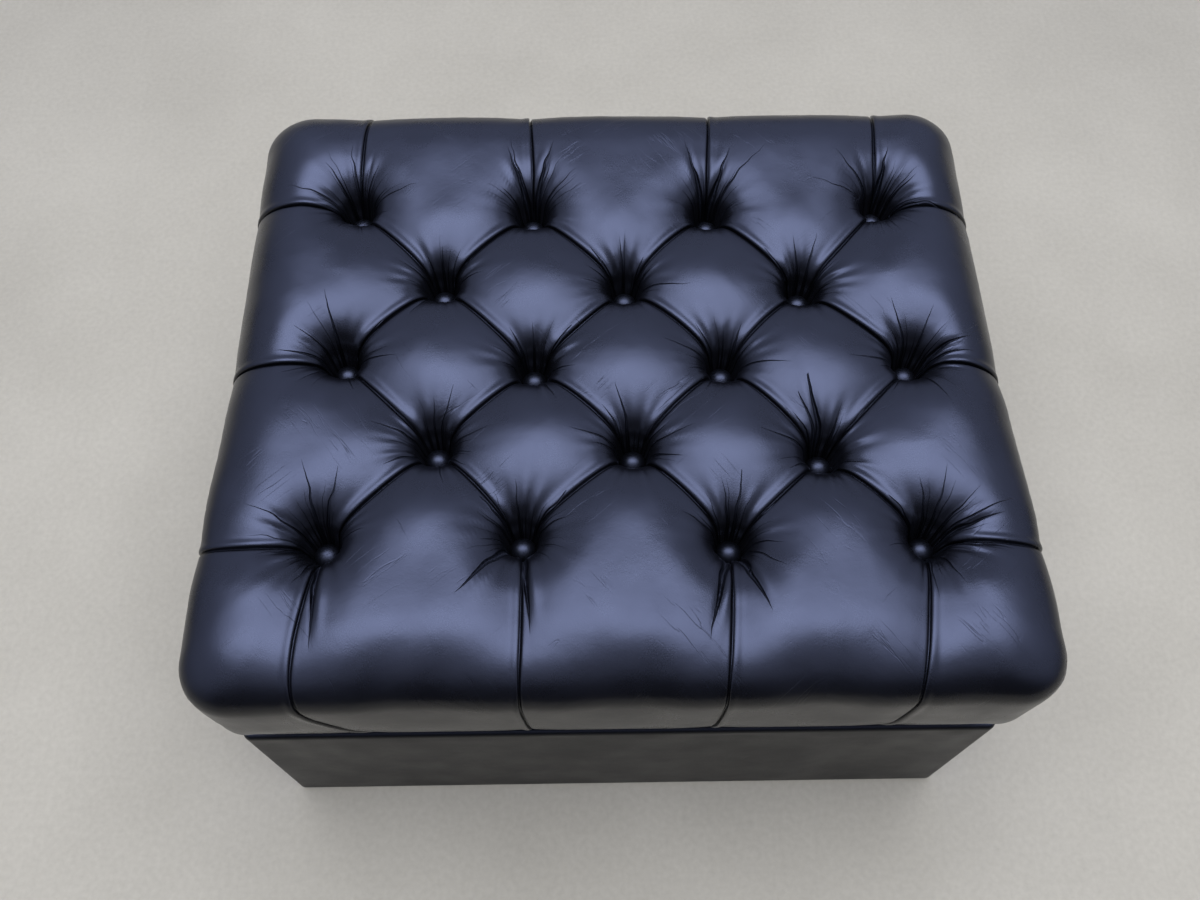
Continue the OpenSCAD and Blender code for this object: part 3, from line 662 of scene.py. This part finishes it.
def build_base_panel(side):
    """Leather over one side of the box, from its hem under the boards to its fold over the rim."""
    cross = side in ("front", "back")
    along, out = (side_x, front_y) if cross else (front_y, side_x)
    turn = {"front": 0, "right": 90, "back": 180, "left": 270}[side]
    spin = np.array(Matrix.Rotation(math.radians(turn), 2))
    low, top = base_low.z, base_high.z
    # Front and back wrap round the corners of the box, and the sides meet them there
    wrap = math.pi / 2 if cross else math.radians(2)
    arc = BASE_CORNER * wrap
    half = along - BASE_CORNER
    bow = np.linspace(0, arc, 12)
    s = np.r_[-bow[:0:-1] - half, np.linspace(-half, half, 150), half + bow[1:]]
    # The section: hem under the boards, wall, roll over the rim, and in to the lining
    hem = [(24 * MM, low), (10 * MM, low), (1.2 * MM, low), (0.2 * MM, low + 0.8 * MM)]
    wall = [(0, z) for z in np.linspace(low + 2 * MM, top - RIM_ROLL, 42)]
    rim = [(RIM_ROLL * (1 - math.cos(a)), top - RIM_ROLL + RIM_ROLL * math.sin(a))
           for a in np.linspace(0, math.pi / 2, 9)[1:]]
    inner = side_x - well_out.x + 0.2 * MM
    flange = [(RIM_ROLL + t * (inner - RIM_ROLL), top) for t in (0.35, 0.7, 1.0)]
    rows, thickness = [], []
    seed = 500 + turn
    for inset, z in hem + wall + rim + flange:
        tuck = np.clip((np.abs(s) - half) / BASE_CORNER, 0, wrap)
        radius = BASE_CORNER - inset
        x = np.clip(s, -half, half) + np.sign(s) * np.sin(tuck) * radius
        y = -(out - BASE_CORNER) - np.cos(tuck) * radius
        if inset > BASE_CORNER:
            # Past the corner's centre the rows run straight, and the last follows the well's cut corners
            cut = CORNER_LEG if inset >= inner else 0
            x = s * (half + radius - cut / 2) / (half + arc)
            y = -(out - BASE_CORNER) - radius + np.clip(np.abs(x) - (along - inset - CORNER_LEG), 0, cut)
            z = z if cross or z < top else top - 0.3 * MM
        flat = level(s, z)
        soft = 0.8 * MM * wander(flat * (1, 0.4), 140 * MM, seed)
        soft += 0.25 * MM * wander(flat * (1, 0.3), 52 * MM, seed + 1)
        soft *= ramp(low, low + 30 * MM, z) * (1 - ramp(top - RIM_ROLL - 12 * MM, top - 2 * MM, z))
        y = y - soft * (np.abs(s) < half) * ramp(0, 30 * MM, half - np.abs(s))
        rows.append(level(np.column_stack([x, y]) @ spin.T, z))
        thickness.append(PADDED if low + 3 * MM < z < top - RIM_ROLL - 4 * MM else BARE)
    verts, faces = strip(rows, thickness)
    return mesh_piece(f"base_{side}_panel", verts, faces)


# ---------- Linings, piping and dust cover ----------

def cut_corner_path(half_x, half_y, leg, pitch):
    """Points, inward directions and running length round a rectangle with cut corners."""
    quarter = np.array([(half_x, half_y - leg), (half_x - leg, half_y)])
    ends = np.concatenate([quarter, quarter[::-1] * (-1, 1), -quarter, quarter[::-1] * (1, -1)])
    ends = np.roll(ends, 1, 0)
    points, inward = [], []
    for a, b in zip(ends, np.roll(ends, -1, 0)):
        steps = max(2, round(float(np.linalg.norm(b - a)) / pitch))
        t = np.arange(steps)[:, None] / steps
        points.append(a + (b - a) * t)
        way = (b - a) / np.linalg.norm(b - a)
        inward.append(np.tile([-way[1], way[0]], (steps, 1)))
    points = np.concatenate(points)
    done = np.r_[0, np.cumsum(np.linalg.norm(np.diff(points, axis=0), axis=1))]
    return points, np.concatenate(inward), done


def shell(rings, thickness, capped):
    """A closed cloth shell from rings of 3-D points, with a second face inwards, and a middle if capped."""
    rings = np.array(rings)
    levels, count = rings.shape[:2]
    along = np.roll(rings, -1, 1) - np.roll(rings, 1, 1)
    under = rings + unit(np.cross(along, np.gradient(rings, axis=0))) * thickness
    ids = np.arange(levels * count).reshape(levels, count)
    faces = []
    for a, b in zip(ids, ids[1:]):
        faces += band(a, b) + [c[::-1] for c in band(a + ids.size, b + ids.size)]
    verts = [rings.reshape(-1, 3), under.reshape(-1, 3)]
    rims = (0,) if capped else (0, levels - 1)
    for k in rims:
        faces += band(ids[k], ids[k] + ids.size)
    if capped:
        verts.append(np.stack([rings[-1].mean(0), under[-1].mean(0)]))
        for n, grid in enumerate((ids, ids + ids.size)):
            middle = 2 * ids.size + n
            faces += [(int(a), int(b), middle) for a, b in zip(grid[-1], np.roll(grid[-1], -1))]
    return np.concatenate(verts), faces


def puckers(run_on, z, seed, top):
    """How far a lining stands off its board: slack waves, and gathers under the sewn top edge."""
    flat = level(run_on, z)
    slack = 0.7 + 0.5 * wander(flat * (1, 0.5), 210 * MM, seed) + 0.2 * wander(flat, 60 * MM, seed + 1)
    sewn = np.exp(-abs(top - z) / (14 * MM)) * (0.3 + 0.3 * wander(flat * (1, 0.1), 17 * MM, seed + 2))
    return MM * (np.clip(slack, 0.1, 1.8) + sewn)


def piping(name, half_x, half_y, leg, z, radius):
    """Covered piping round an opening, with the cloth twisting a little on its cord."""
    points, inward, run_on = cut_corner_path(half_x, half_y, leg, 2.5 * MM)
    rings = []
    for a in np.linspace(0, 2 * math.pi, 15)[:-1]:
        r = radius * (0.95 + 0.05 * np.sin(run_on / (2.2 * MM) + 2 * a))
        rings.append(level(points + inward * (r * math.cos(a))[:, None], z + r * math.sin(a)))
    ids = np.arange(len(rings) * len(points)).reshape(len(rings), len(points))
    return mesh_piece(name, np.concatenate(rings), band(ids, np.roll(ids, -1, 0)))


CLOTH = 1.2 * MM
PIPE = 2.5 * MM
# How much shorter a cut corner's leg gets for each unit that its path moves inwards
GIVE = 2 - math.sqrt(2)
LID_LEG = 4 * MM
FOOT = 11 * MM
lining_low, lining_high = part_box("box_lining_walls")
mat_low, mat_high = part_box("box_lining_floor")
dust_low, dust_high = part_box("dust_cover")
box_welt_high, lid_welt_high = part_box("box_lining_welt")[1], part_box("lid_lining_welt")[1]
foot_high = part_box("glides")[1]


def build_box_lining():
    """The box's lining, stretched round its four sides, and its flat size."""
    levels = lining_low.z + (lining_high.z - lining_low.z) * graded(26, 1, 1.1)
    rings = []
    for z in levels:
        points, inward, run_on = cut_corner_path(lining_high.x, lining_high.y, CORNER_LEG, 6 * MM)
        off = puckers(run_on, z, 40, lining_high.z)
        rings.append(level(points + inward * off[:, None], z))
    verts, faces = shell(rings, CLOTH, False)
    piece = mesh_piece("box_side_lining", verts, faces)
    return piece, (run_on[-1] + 6 * MM, lining_high.z - lining_low.z)


def build_box_mat():
    """The loose cloth mat on the box's floor, stitched near its edge, and its flat size."""
    half_x, half_y = mat_high.x - 2 * MM, mat_high.y - 2 * MM
    base = cut_corner_path(half_x, half_y, CORNER_LEG, 6 * MM)[0]
    rings = []
    for share in np.r_[1.0, 0.997, 0.99, np.linspace(0.97, 0.03, 34)]:
        points = base * share
        lift = 0.5 + 0.5 * wander(points, 190 * MM, 61) + 0.15 * wander(points, 50 * MM, 62)
        stitched = 0.5 * math.exp(-(((share - 0.97) / 0.008) ** 2))
        rings.append(level(points, mat_low.z + MM * (1.5 + np.clip(lift, 0, 1.4) - stitched)))
    verts, faces = shell(rings, -CLOTH, True)
    return mesh_piece("box_floor_mat", verts, faces), (2 * half_x, 2 * half_y)


def build_lid_lining():
    """One cloth tacked up into the lid: four sides and a ceiling that sags a little between its edges."""
    half_x, half_y, rings = tray_high.x, tray_high.y, []
    top, bend = tray_high.z - 2 * MM, 4 * MM
    points, inward, run_on = cut_corner_path(half_x, half_y, LID_LEG, 6 * MM)
    for z in np.linspace(tray_low.z, top - 5 * MM, 9):
        off = 0.8 * puckers(run_on, z, 80, tray_low.z)
        rings.append(level(points + inward * off[:, None], z))
    edge, inward, _ = cut_corner_path(half_x - 1 * MM, half_y - 1 * MM, LID_LEG, 6 * MM)
    for turn in np.radians((25, 55, 85)):
        points = edge + inward * bend * (1 - math.cos(turn))
        rings.append(level(points, top - 5 * MM + bend * math.sin(turn)))
    for share in np.r_[0.995, 0.985, np.linspace(0.96, 0.03, 30)]:
        points = (edge + inward * bend) * share
        sag = (1.2 + 0.9 * wander(points, 170 * MM, 91) + 0.25 * wander(points, 45 * MM, 92)) * MM
        sag *= (1 - (points[:, 0] / half_x) ** 8) * (1 - (points[:, 1] / half_y) ** 8)
        rings.append(level(points, top - 1 * MM - np.clip(sag, 0, 3 * MM)))
    verts, faces = shell(rings, CLOTH, True)
    deep = top - tray_low.z
    return mesh_piece("lid_cloth_lining", verts, faces), (2 * (half_x + deep), 2 * (half_y + deep))


def build_dust_cover():
    """Thin, sagging cloth tacked under the box, with holes for the glides; its flat size and area."""
    across, down = 121, 101
    x = np.linspace(dust_low.x, dust_high.x, across)
    y = np.linspace(dust_low.y, dust_high.y, down)
    grid = np.stack(np.meshgrid(x, y), -1)
    points = grid.reshape(-1, 2)
    edge = np.minimum(dust_high.x - np.abs(points[:, 0]), dust_high.y - np.abs(points[:, 1]))
    foot_gap = np.linalg.norm(np.abs(points) - (foot_high.x - FOOT, foot_high.y - FOOT), axis=1)
    slack = (0.5 + 0.5 * wander(points, 160 * MM, 71)) * ramp(5 * MM, 90 * MM, edge)
    tacks = 0.3 * np.cos(2 * math.pi * (points[:, 0] + points[:, 1]) / (38 * MM)) * np.exp(-edge / (12 * MM))
    z = dust_high.z - 0.2 * MM - np.clip(slack + tacks, 0, 1.6) * MM
    top = level(points, z)
    low = top - (0, 0, 0.6 * MM)
    ids = np.arange(across * down).reshape(down, across)
    keep = np.ones((down - 1, across - 1), bool)
    gap = foot_gap.reshape(down, across) < FOOT + 1 * MM
    for dy in (0, 1):
        for dx in (0, 1):
            keep &= ~gap[dy:down - 1 + dy, dx:across - 1 + dx]
    kept, count = cells(ids)[keep], ids.size
    faces = kept.tolist() + (kept[:, ::-1] + count).tolist()
    sides = {(a, b): True for c in kept.tolist() for a, b in zip(c, c[1:] + c[:1])}
    faces += [(b, a, a + count, b + count) for a, b in sides if (b, a) not in sides]
    verts = np.concatenate([top, low])
    used, faces = np.unique(np.array(faces), return_inverse=True)
    piece = mesh_piece("dust_cloth_panel", verts[used], faces.reshape(-1, 4).tolist())
    return piece, (2 * dust_high.x, 2 * dust_high.y), len(kept) * (x[1] - x[0]) * (y[1] - y[0])


# ---------- Materials ----------

def add(tree, kind, inputs=None, **settings):
    """One shader node; inputs are values or the outputs of other nodes."""
    node = tree.nodes.new("ShaderNode" + kind)
    for key, value in settings.items():
        setattr(node, key, value)
    for key, value in (inputs or {}).items():
        if isinstance(value, bpy.types.NodeSocket):
            tree.links.new(value, node.inputs[key])
        else:
            node.inputs[key].default_value = value
    return node


def material(name):
    """An empty material with its tree, its shader and the object's own coordinates."""
    made = bpy.data.materials.new(name)
    made.use_nodes = True
    tree = made.node_tree
    tree.nodes.clear()
    shader = add(tree, "BsdfPrincipled")
    add(tree, "OutputMaterial", {"Surface": shader.outputs[0]})
    return made, tree, shader, add(tree, "TexCoord").outputs["Object"]


def math_node(tree, operation, *values, **settings):
    return add(tree, "Math", dict(enumerate(values)), operation=operation, **settings).outputs[0]


def plus(tree, a, b):
    return math_node(tree, "ADD", a, b)


def times(tree, a, b):
    return math_node(tree, "MULTIPLY", a, b)


def most(tree, a, b):
    return math_node(tree, "MAXIMUM", a, b)


def dot(tree, vector, x, y):
    inputs = {0: vector, 1: (x, y, 0)}
    return add(tree, "VectorMath", inputs, operation="DOT_PRODUCT").outputs["Value"]


def spots(tree, at, scale, detail, rough=0.5):
    inputs = {"Vector": at, "Scale": scale, "Detail": detail, "Roughness": rough}
    return add(tree, "TexNoise", inputs).outputs[0]


def waves(tree, at, scale, distortion, detail, way):
    inputs = {"Vector": at, "Scale": scale, "Distortion": distortion, "Detail": detail}
    return add(tree, "TexWave", inputs, bands_direction=way).outputs[1]


def span(tree, value, low, high, to_low, to_high, kind="LINEAR"):
    """The value, mapped from low..high to to_low..to_high and held beyond them."""
    inputs = {0: value, 1: low, 2: high, 3: to_low, 4: to_high}
    return add(tree, "MapRange", inputs, interpolation_type=kind).outputs[0]


def blend_colour(tree, factor, a, b):
    """Colour a at factor 0, b at 1; b may be a socket's own colour."""
    a, b = ((*c, 1) if isinstance(c, tuple) else c for c in (a, b))
    return add(tree, "Mix", {0: factor, 6: a, 7: b}, data_type="RGBA").outputs[2]


def bump(tree, height, distance, strength, after=None):
    inputs = {"Height": height, "Distance": distance, "Strength": strength}
    if after is not None:
        inputs["Normal"] = after
    return add(tree, "Bump", inputs).outputs[0]


def finish_with(tree, shader, colour, rough, normal):
    for socket, value in (("Base Color", colour), ("Roughness", rough), ("Normal", normal)):
        tree.links.new(value, shader.inputs[socket])


def groove(tree, across, half):
    """A rounded groove as deep as it is half wide, in mm, at this distance across from its middle."""
    share = math_node(tree, "DIVIDE", across, most(tree, half, 0.01))
    return times(tree, span(tree, share, 0.0, 1.0, 1.0, 0.0, "SMOOTHSTEP"), half)


def main_folds(tree, tuft, lot, bend, near):
    """The crisp floor of each of the larger folds in FOLDS: depth in mm."""
    sway = times(tree, math_node(tree, "SUBTRACT", bend, 0.5), 6.0)
    depths = []
    for key, folds in FOLDS.items():
        own = times(tree, math_node(tree, "COMPARE", lot, lot_of(key), 0.02), near)
        for heading, start, length, depth, _ in folds:
            if depth < MAIN_FOLD:
                continue
            x, y = math.cos(math.radians(heading)), math.sin(math.radians(heading))
            along, across = dot(tree, tuft, x, y), dot(tree, tuft, -y, x)
            left = times(tree, span(tree, along, start, length, 1.0, 0.0),
                         span(tree, along, start - 6, start + 4, 0.0, 1.0))
            half = times(tree, times(tree, left, own), 1.35 * depth)
            depths.append(groove(tree, math_node(tree, "ABSOLUTE", plus(tree, across, sway)), half))
    return depths


# Two sets of fine wrinkles: rays per radian, widest in mm, shortest and longest as shares of their reach
RAYS = ((2.0, 2.7, 0.45, 1.3), (4.3, 1.2, 0.25, 0.95))


def gathers(tree, tuft, reach):
    """Wrinkles that run out from each button and taper to nothing: depth in mm."""
    x, y, lot = add(tree, "SeparateXYZ", {0: tuft}).outputs
    angle = math_node(tree, "ARCTAN2", y, x)
    far = math_node(tree, "SQRT", plus(tree, times(tree, x, x), times(tree, y, y)))
    bend = add(tree, "TexNoise", {"W": plus(tree, times(tree, far, 0.035), lot), "Scale": 1.0, "Detail": 1.0},
               noise_dimensions="1D").outputs[0]
    turned = plus(tree, angle, times(tree, bend, 0.16))
    depths = main_folds(tree, tuft, lot, bend, math_node(tree, "MINIMUM", reach, 1.0))
    for per_radian, widest, shortest, longest in RAYS:
        at = plus(tree, times(tree, turned, per_radian), times(tree, lot, 10 * per_radian))
        rays = add(tree, "TexVoronoi", {"W": at, "Scale": 1.0}, voronoi_dimensions="1D").outputs
        chance = add(tree, "SeparateColor", {0: rays["Color"]}).outputs
        length = times(tree, reach, span(tree, chance[0], 0.0, 1.0, shortest, longest))
        gone = math_node(tree, "DIVIDE", far, most(tree, length, 1.0))
        left = math_node(tree, "SUBTRACT", 1.0, gone, use_clamp=True)
        half = times(tree, left, span(tree, chance[1], 0.0, 1.0, 0.5 * widest, widest))
        across = math_node(tree, "DIVIDE", times(tree, rays["Distance"], far), per_radian)
        depths.append(groove(tree, across, half))
    deepest = depths[0]
    for depth in depths[1:]:
        deepest = most(tree, deepest, depth)
    return deepest


def leather(name, tone, gloss):
    """Smooth finished leather: fine pebble grain, age lines, gathers round each button, and painted shade
    that darkens its colour in the creases and gathers.
    """
    made, tree, shader, at = material(name)
    tuft = add(tree, "Attribute", attribute_name="tuft").outputs["Vector"]
    ruck = add(tree, "Attribute", attribute_name="ruck").outputs["Fac"]
    crease = add(tree, "Attribute", attribute_name="crease").outputs["Fac"]
    gather = gathers(tree, tuft, ruck)
    pebble = add(tree, "TexVoronoi", {"Vector": at, "Scale": 900.0}, feature="SMOOTH_F1").outputs[0]
    grain = plus(tree, pebble, times(tree, spots(tree, at, 2600.0, 3.0), 0.35))
    # Age lines: two directions, each in patches of its own, a few mm apart and some 80 mm long at most
    patches = spots(tree, at, 14.0, 2.0)
    age = []
    for turn, apart, *where in ((0.7, 8.0, 0.55, 0.7, 0.0, 1.0), (-0.9, 9.0, 0.3, 0.45, 1.0, 0.0)):
        inputs = {"Vector": at, "Rotation": (0, 0, turn), "Scale": (1 / apart, 1 / 80, 1 / apart)}
        laid = add(tree, "Mapping", inputs, vector_type="TEXTURE").outputs[0]
        line = math_node(tree, "ABSOLUTE", math_node(tree, "SUBTRACT", spots(tree, laid, 1.0, 3.0), 0.5))
        age.append(times(tree, span(tree, line, 0.0, 0.012, 1.0, 0.0), span(tree, patches, *where)))
    normal = bump(tree, gather, -1.9 * MM, 1.0)
    normal = bump(tree, spots(tree, at, 60.0, 3.0), 0.5 * MM, 0.35, normal)
    normal = bump(tree, most(tree, *age), -0.22 * MM, 0.6, normal)
    normal = bump(tree, grain, 0.08 * MM, 0.4, normal)
    mottle = spots(tree, at, 22.0, 4.0)
    worn = blend_colour(tree, span(tree, mottle, 0.3, 0.7, 0.0, 1.0), tone, tuple(1.35 * c for c in tone))
    # Painted shade: the colour falls to a third of its tone in the creases and in the gathers round the
    # buttons, where the folds would be in shadow
    painted_shade = math_node(tree, "MAXIMUM", crease, gather, use_clamp=True)
    shade = blend_colour(tree, painted_shade, worn, tuple(0.35 * c for c in tone))
    rough = plus(tree, span(tree, mottle, 0.3, 0.7, gloss - 0.04, gloss + 0.05),
                 plus(tree, times(tree, pebble, 0.05), times(tree, gather, 0.1)))
    finish_with(tree, shader, shade, rough, normal)
    shader.inputs["Specular IOR Level"].default_value = 0.34
    return made


def wood(name):
    """Birch plywood: long grain, layered edges and a few darker flecks."""
    made, tree, shader, at = material(name)
    stretched = add(tree, "Mapping", {"Vector": at, "Scale": (6.0, 60.0, 60.0)}).outputs[0]
    grain = spots(tree, stretched, 4.0, 6.0)
    mixed = plus(tree, times(tree, grain, 0.8), times(tree, waves(tree, at, 180.0, 1.5, 2.0, "Z"), 0.25))
    finish_with(tree, shader, blend_colour(tree, mixed, (0.42, 0.27, 0.14), (0.66, 0.47, 0.28)),
                span(tree, grain, 0.3, 0.7, 0.5, 0.72), bump(tree, grain, 0.3 * MM, 0.4))
    return made


def woven(name, dark, light, threads, rough=0.85):
    """Plain woven cloth from crossing waves, with slubs and faded patches."""
    made, tree, shader, at = material(name)
    x, y, z = (waves(tree, at, threads, 0.6, 1.0, way) for way in "XYZ")
    weave = most(tree, most(tree, x, y), z)
    slub = spots(tree, at, threads * 2, 3.0)
    tone = plus(tree, times(tree, weave, 0.5), times(tree, spots(tree, at, 9.0, 3.0), 0.5))
    normal = bump(tree, plus(tree, weave, times(tree, slub, 0.5)), 0.25 * MM, 0.6)
    finish_with(tree, shader, blend_colour(tree, tone, dark, light),
                span(tree, slub, 0.3, 0.7, rough - 0.08, rough + 0.08), normal)
    shader.inputs["Sheen Weight"].default_value = 0.15
    return made


def metal(name, dark, light, rough, scratch):
    """Plated or bare metal with drawn scratches, dull patches and brighter wear."""
    made, tree, shader, at = material(name)
    drawn = spots(tree, add(tree, "Mapping", {"Vector": at, "Scale": scratch}).outputs[0], 40.0, 4.0)
    dull = span(tree, spots(tree, at, 90.0, 4.0), 0.35, 0.65, 0.0, 1.0)
    finish_with(tree, shader, blend_colour(tree, dull, dark, light),
                span(tree, drawn, 0.3, 0.7, rough - 0.08, rough + 0.12), bump(tree, drawn, 0.05 * MM, 0.4))
    shader.inputs["Metallic"].default_value = 1.0
    return made


def moulded(name, dark, light, rough):
    """Moulded plastic, rubber or foam with a fine spark texture and scuffs."""
    made, tree, shader, at = material(name)
    scuff = spots(tree, at, 70.0, 4.0)
    finish_with(tree, shader, blend_colour(tree, span(tree, scuff, 0.35, 0.7, 0.0, 1.0), dark, light),
                span(tree, scuff, 0.3, 0.7, rough, rough + 0.15),
                bump(tree, spots(tree, at, 1800.0, 2.0), 0.08 * MM, 0.5))
    return made


def twisted(name):
    """Waxed twine: slanting plies with loose hairs."""
    made, tree, shader, at = material(name)
    ply = waves(tree, at, 260.0, 1.0, 2.0, "DIAGONAL")
    finish_with(tree, shader, blend_colour(tree, ply, (0.36, 0.25, 0.14), (0.62, 0.48, 0.3)),
                span(tree, spots(tree, at, 900.0, 3.0), 0.3, 0.7, 0.75, 0.95), bump(tree, ply, 0.3 * MM, 0.7))
    return made


BLACK = (0.0042, 0.0046, 0.007)
cover_leather = leather("black_leather", BLACK, 0.27)
button_leather = leather("button_leather", (0.005, 0.0055, 0.008), 0.2)
plywood = wood("birch_plywood")
lining_cloth = woven("lining_cloth", (0.055, 0.043, 0.034), (0.12, 0.098, 0.08), 620.0)
dust_cloth = woven("dust_cloth", (0.008, 0.008, 0.009), (0.026, 0.026, 0.028), 380.0, 0.9)
zinc = metal("zinc_plated_steel", (0.42, 0.42, 0.42), (0.62, 0.62, 0.6), 0.3, (2.0, 40.0, 40.0))
bright = metal("screw_steel", (0.5, 0.49, 0.46), (0.7, 0.69, 0.66), 0.24, (30.0, 30.0, 4.0))
rubber = moulded("bumper_rubber", (0.02, 0.02, 0.021), (0.05, 0.05, 0.05), 0.6)
glide_plastic = moulded("glide_plastic", (0.012, 0.012, 0.013), (0.035, 0.035, 0.036), 0.38)
twine = twisted("waxed_twine")
foam = moulded("grey_foam", (0.5, 0.46, 0.36), (0.66, 0.62, 0.5), 0.9)

# The finish of each CAD node goes by the first of these words that its name holds
KINDS = (
    (("screws",), bright), (("hinge", "stay", "button_backs", "twine_anchors"), zinc),
    (("glides",), glide_plastic), (("bumpers",), rubber), (("twines",), twine),
    (("dust_cover",), dust_cloth), (("lining",), lining_cloth),
    (("board", "rail", "deck", "cleats", "blocks"), plywood), (("pad", "foam", "wadding"), foam),
    (("leather", "cover"), cover_leather), (("caps",), button_leather),
)
for name, node in CAD.items():
    finish = next(made for words, made in KINDS if any(w in name for w in words))
    node.data.materials.clear()
    node.data.materials.append(finish)


# ---------- The pieces ----------

def dress(piece, body, finish, slot, *replaced):
    """Give a piece its material and its body, and hide the CAD nodes that it stands for; slot is not used."""
    piece.data.materials.append(finish)
    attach(piece, body)
    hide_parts(*replaced)


cover = build_cover()
dress(cover, "lid", cover_leather, "leather", "lid_cover", "lid_wadding", "lid_foam", "lid_front_pad",
      "lid_back_pad", "lid_left_pad", "lid_right_pad")
dress(build_buttons(), "lid", button_leather, "button_leather", "button_caps")
for side in ("front", "back", "left", "right"):
    panel = build_base_panel(side)
    dress(panel, "base", cover_leather, "leather", f"base_{side}_leather", f"base_{side}_padding")

side_lining, side_flat = build_box_lining()
box_piping = piping("box_piping", box_welt_high.x - PIPE, box_welt_high.y - PIPE, CORNER_LEG - PIPE * GIVE,
                    box_welt_high.z - PIPE, PIPE)
mat, mat_flat = build_box_mat()
lid_cloth, lid_flat = build_lid_lining()
lid_piping = piping("lid_piping", lid_welt_high.x - PIPE, lid_welt_high.y - PIPE, LID_LEG,
                    lid_welt_high.z - PIPE, PIPE)
dust_panel, dust_flat, dust_area = build_dust_cover()
dress(side_lining, "base", lining_cloth, "lining", "box_lining_walls")
dress(box_piping, "base", lining_cloth, "lining", "box_lining_welt")
dress(mat, "base", lining_cloth, "lining", "box_lining_floor")
dress(lid_cloth, "lid", lining_cloth, "lining", "lid_lining")
dress(lid_piping, "lid", lining_cloth, "lining", "lid_lining_welt")
dress(dust_panel, "base", dust_cloth, "dust_cloth", "dust_cover")


# ---------- Floor, light and camera ----------

def pale_floor():
    """Matt, pale floor with faint clouds and fine grit."""
    made, tree, shader, at = material("pale_floor")
    cloud, grit = spots(tree, at, 3.0, 5.0, 0.6), spots(tree, at, 160.0, 4.0)
    tone = span(tree, plus(tree, times(tree, cloud, 0.6), times(tree, grit, 0.4)), 0.35, 0.65, 0.0, 1.0)
    finish_with(tree, shader, blend_colour(tree, tone, (0.50, 0.49, 0.465), (0.60, 0.59, 0.565)),
                span(tree, grit, 0.3, 0.7, 0.8, 0.95), bump(tree, grit, 0.4 * MM, 0.4))
    shader.inputs["Specular IOR Level"].default_value = 0.1
    return made


ROOM = 6
floor = mesh_piece("floor", [(-ROOM, -ROOM, 0), (ROOM, -ROOM, 0), (ROOM, ROOM, 0), (-ROOM, ROOM, 0)],
                   [(0, 1, 2, 3)], smooth=False)
floor.data.materials.append(pale_floor())


# The glow that the leather mirrors: half width, half depth, and how far it stands to the back
GLOW_WIDE, GLOW_DEEP, GLOW_BACK = 0.54, 0.3, 0.19
GLOW_TINT, BACKDROP = (0.50, 0.59, 1.0), (0.62, 0.61, 0.59)


def soft_sky():
    """What the leather mirrors: a blue glow overhead, a little to the back, dimmer sides and back and a
    dark front. The camera itself sees a plain pale backdrop."""
    world = bpy.data.worlds.new("soft_studio")
    world.use_nodes = True
    tree = world.node_tree
    x, y, z = add(tree, "SeparateXYZ", {0: add(tree, "TexCoord").outputs["Generated"]}).outputs
    sideways = math_node(tree, "DIVIDE", x, GLOW_WIDE)
    forward = math_node(tree, "DIVIDE", math_node(tree, "SUBTRACT", y, GLOW_BACK), GLOW_DEEP)
    away = plus(tree, times(tree, sideways, sideways), times(tree, forward, forward))
    glow = times(tree, span(tree, away, 0.1, 2.0, 11.5, 0.0, "SMOOTHSTEP"),
                 math_node(tree, "GREATER_THAN", z, 0.0))
    around = times(tree, span(tree, times(tree, y, -1.0), 0.35, 0.75, 1.35, 0.05),
                   span(tree, z, 0.0, 0.5, 0.3, 1.0))
    seen = add(tree, "LightPath").outputs["Is Camera Ray"]
    tint = blend_colour(tree, seen, GLOW_TINT, BACKDROP)
    strength = add(tree, "Mix", {0: seen, 2: plus(tree, glow, around), 3: 1.0}, data_type="FLOAT").outputs[0]
    for socket, value in zip(tree.nodes["Background"].inputs, (tint, strength)):
        tree.links.new(value, socket)
    world.cycles_visibility.diffuse = False
    return world


LAMP_AT, LAMP_TINT = (0, -0.2, 2.7), (1.0, 0.985, 0.96)


def matt_light(kind, energy):
    """Lights the floor and everything matt, and isn't mirrored in the leather."""
    data = bpy.data.lights.new(f"{kind.lower()}_light", kind)
    data.energy, data.color = energy, LAMP_TINT
    light = bpy.data.objects.new(data.name, data)
    bpy.context.scene.collection.objects.link(light)
    light.location = LAMP_AT
    light.visible_glossy = False
    return data


overhead = matt_light("AREA", 54)
overhead.shape, overhead.size, overhead.size_y = "RECTANGLE", 2.8, 2.6
matt_light("SUN", 1.35).angle = math.radians(75)
bpy.context.scene.world = soft_sky()
bpy.context.scene.view_settings.view_transform = "Standard"

# The camera looks down from the front, as in the photograph
CAMERA_AT = (-0.0270, -0.5230, 1.2497)
PITCH, YAW, LEAN = (math.radians(a) for a in (62.88, 1.40, 0.57))
SENSOR_WIDTH, FOCAL_LENGTH = 36, 34.14
lens = bpy.data.cameras.new("camera")
lens.sensor_width, lens.lens = SENSOR_WIDTH, FOCAL_LENGTH
camera = bpy.data.objects.new("camera", lens)
bpy.context.scene.collection.objects.link(camera)
camera.location = CAMERA_AT
camera.rotation_mode = "XYZ"
look = Matrix.Rotation(-YAW, 3, "Z") @ Matrix.Rotation(math.pi / 2 - PITCH, 3, "X")
look = look @ Matrix.Rotation(LEAN, 3, "Z")
camera.rotation_euler = look.to_euler()
bpy.context.scene.camera = camera
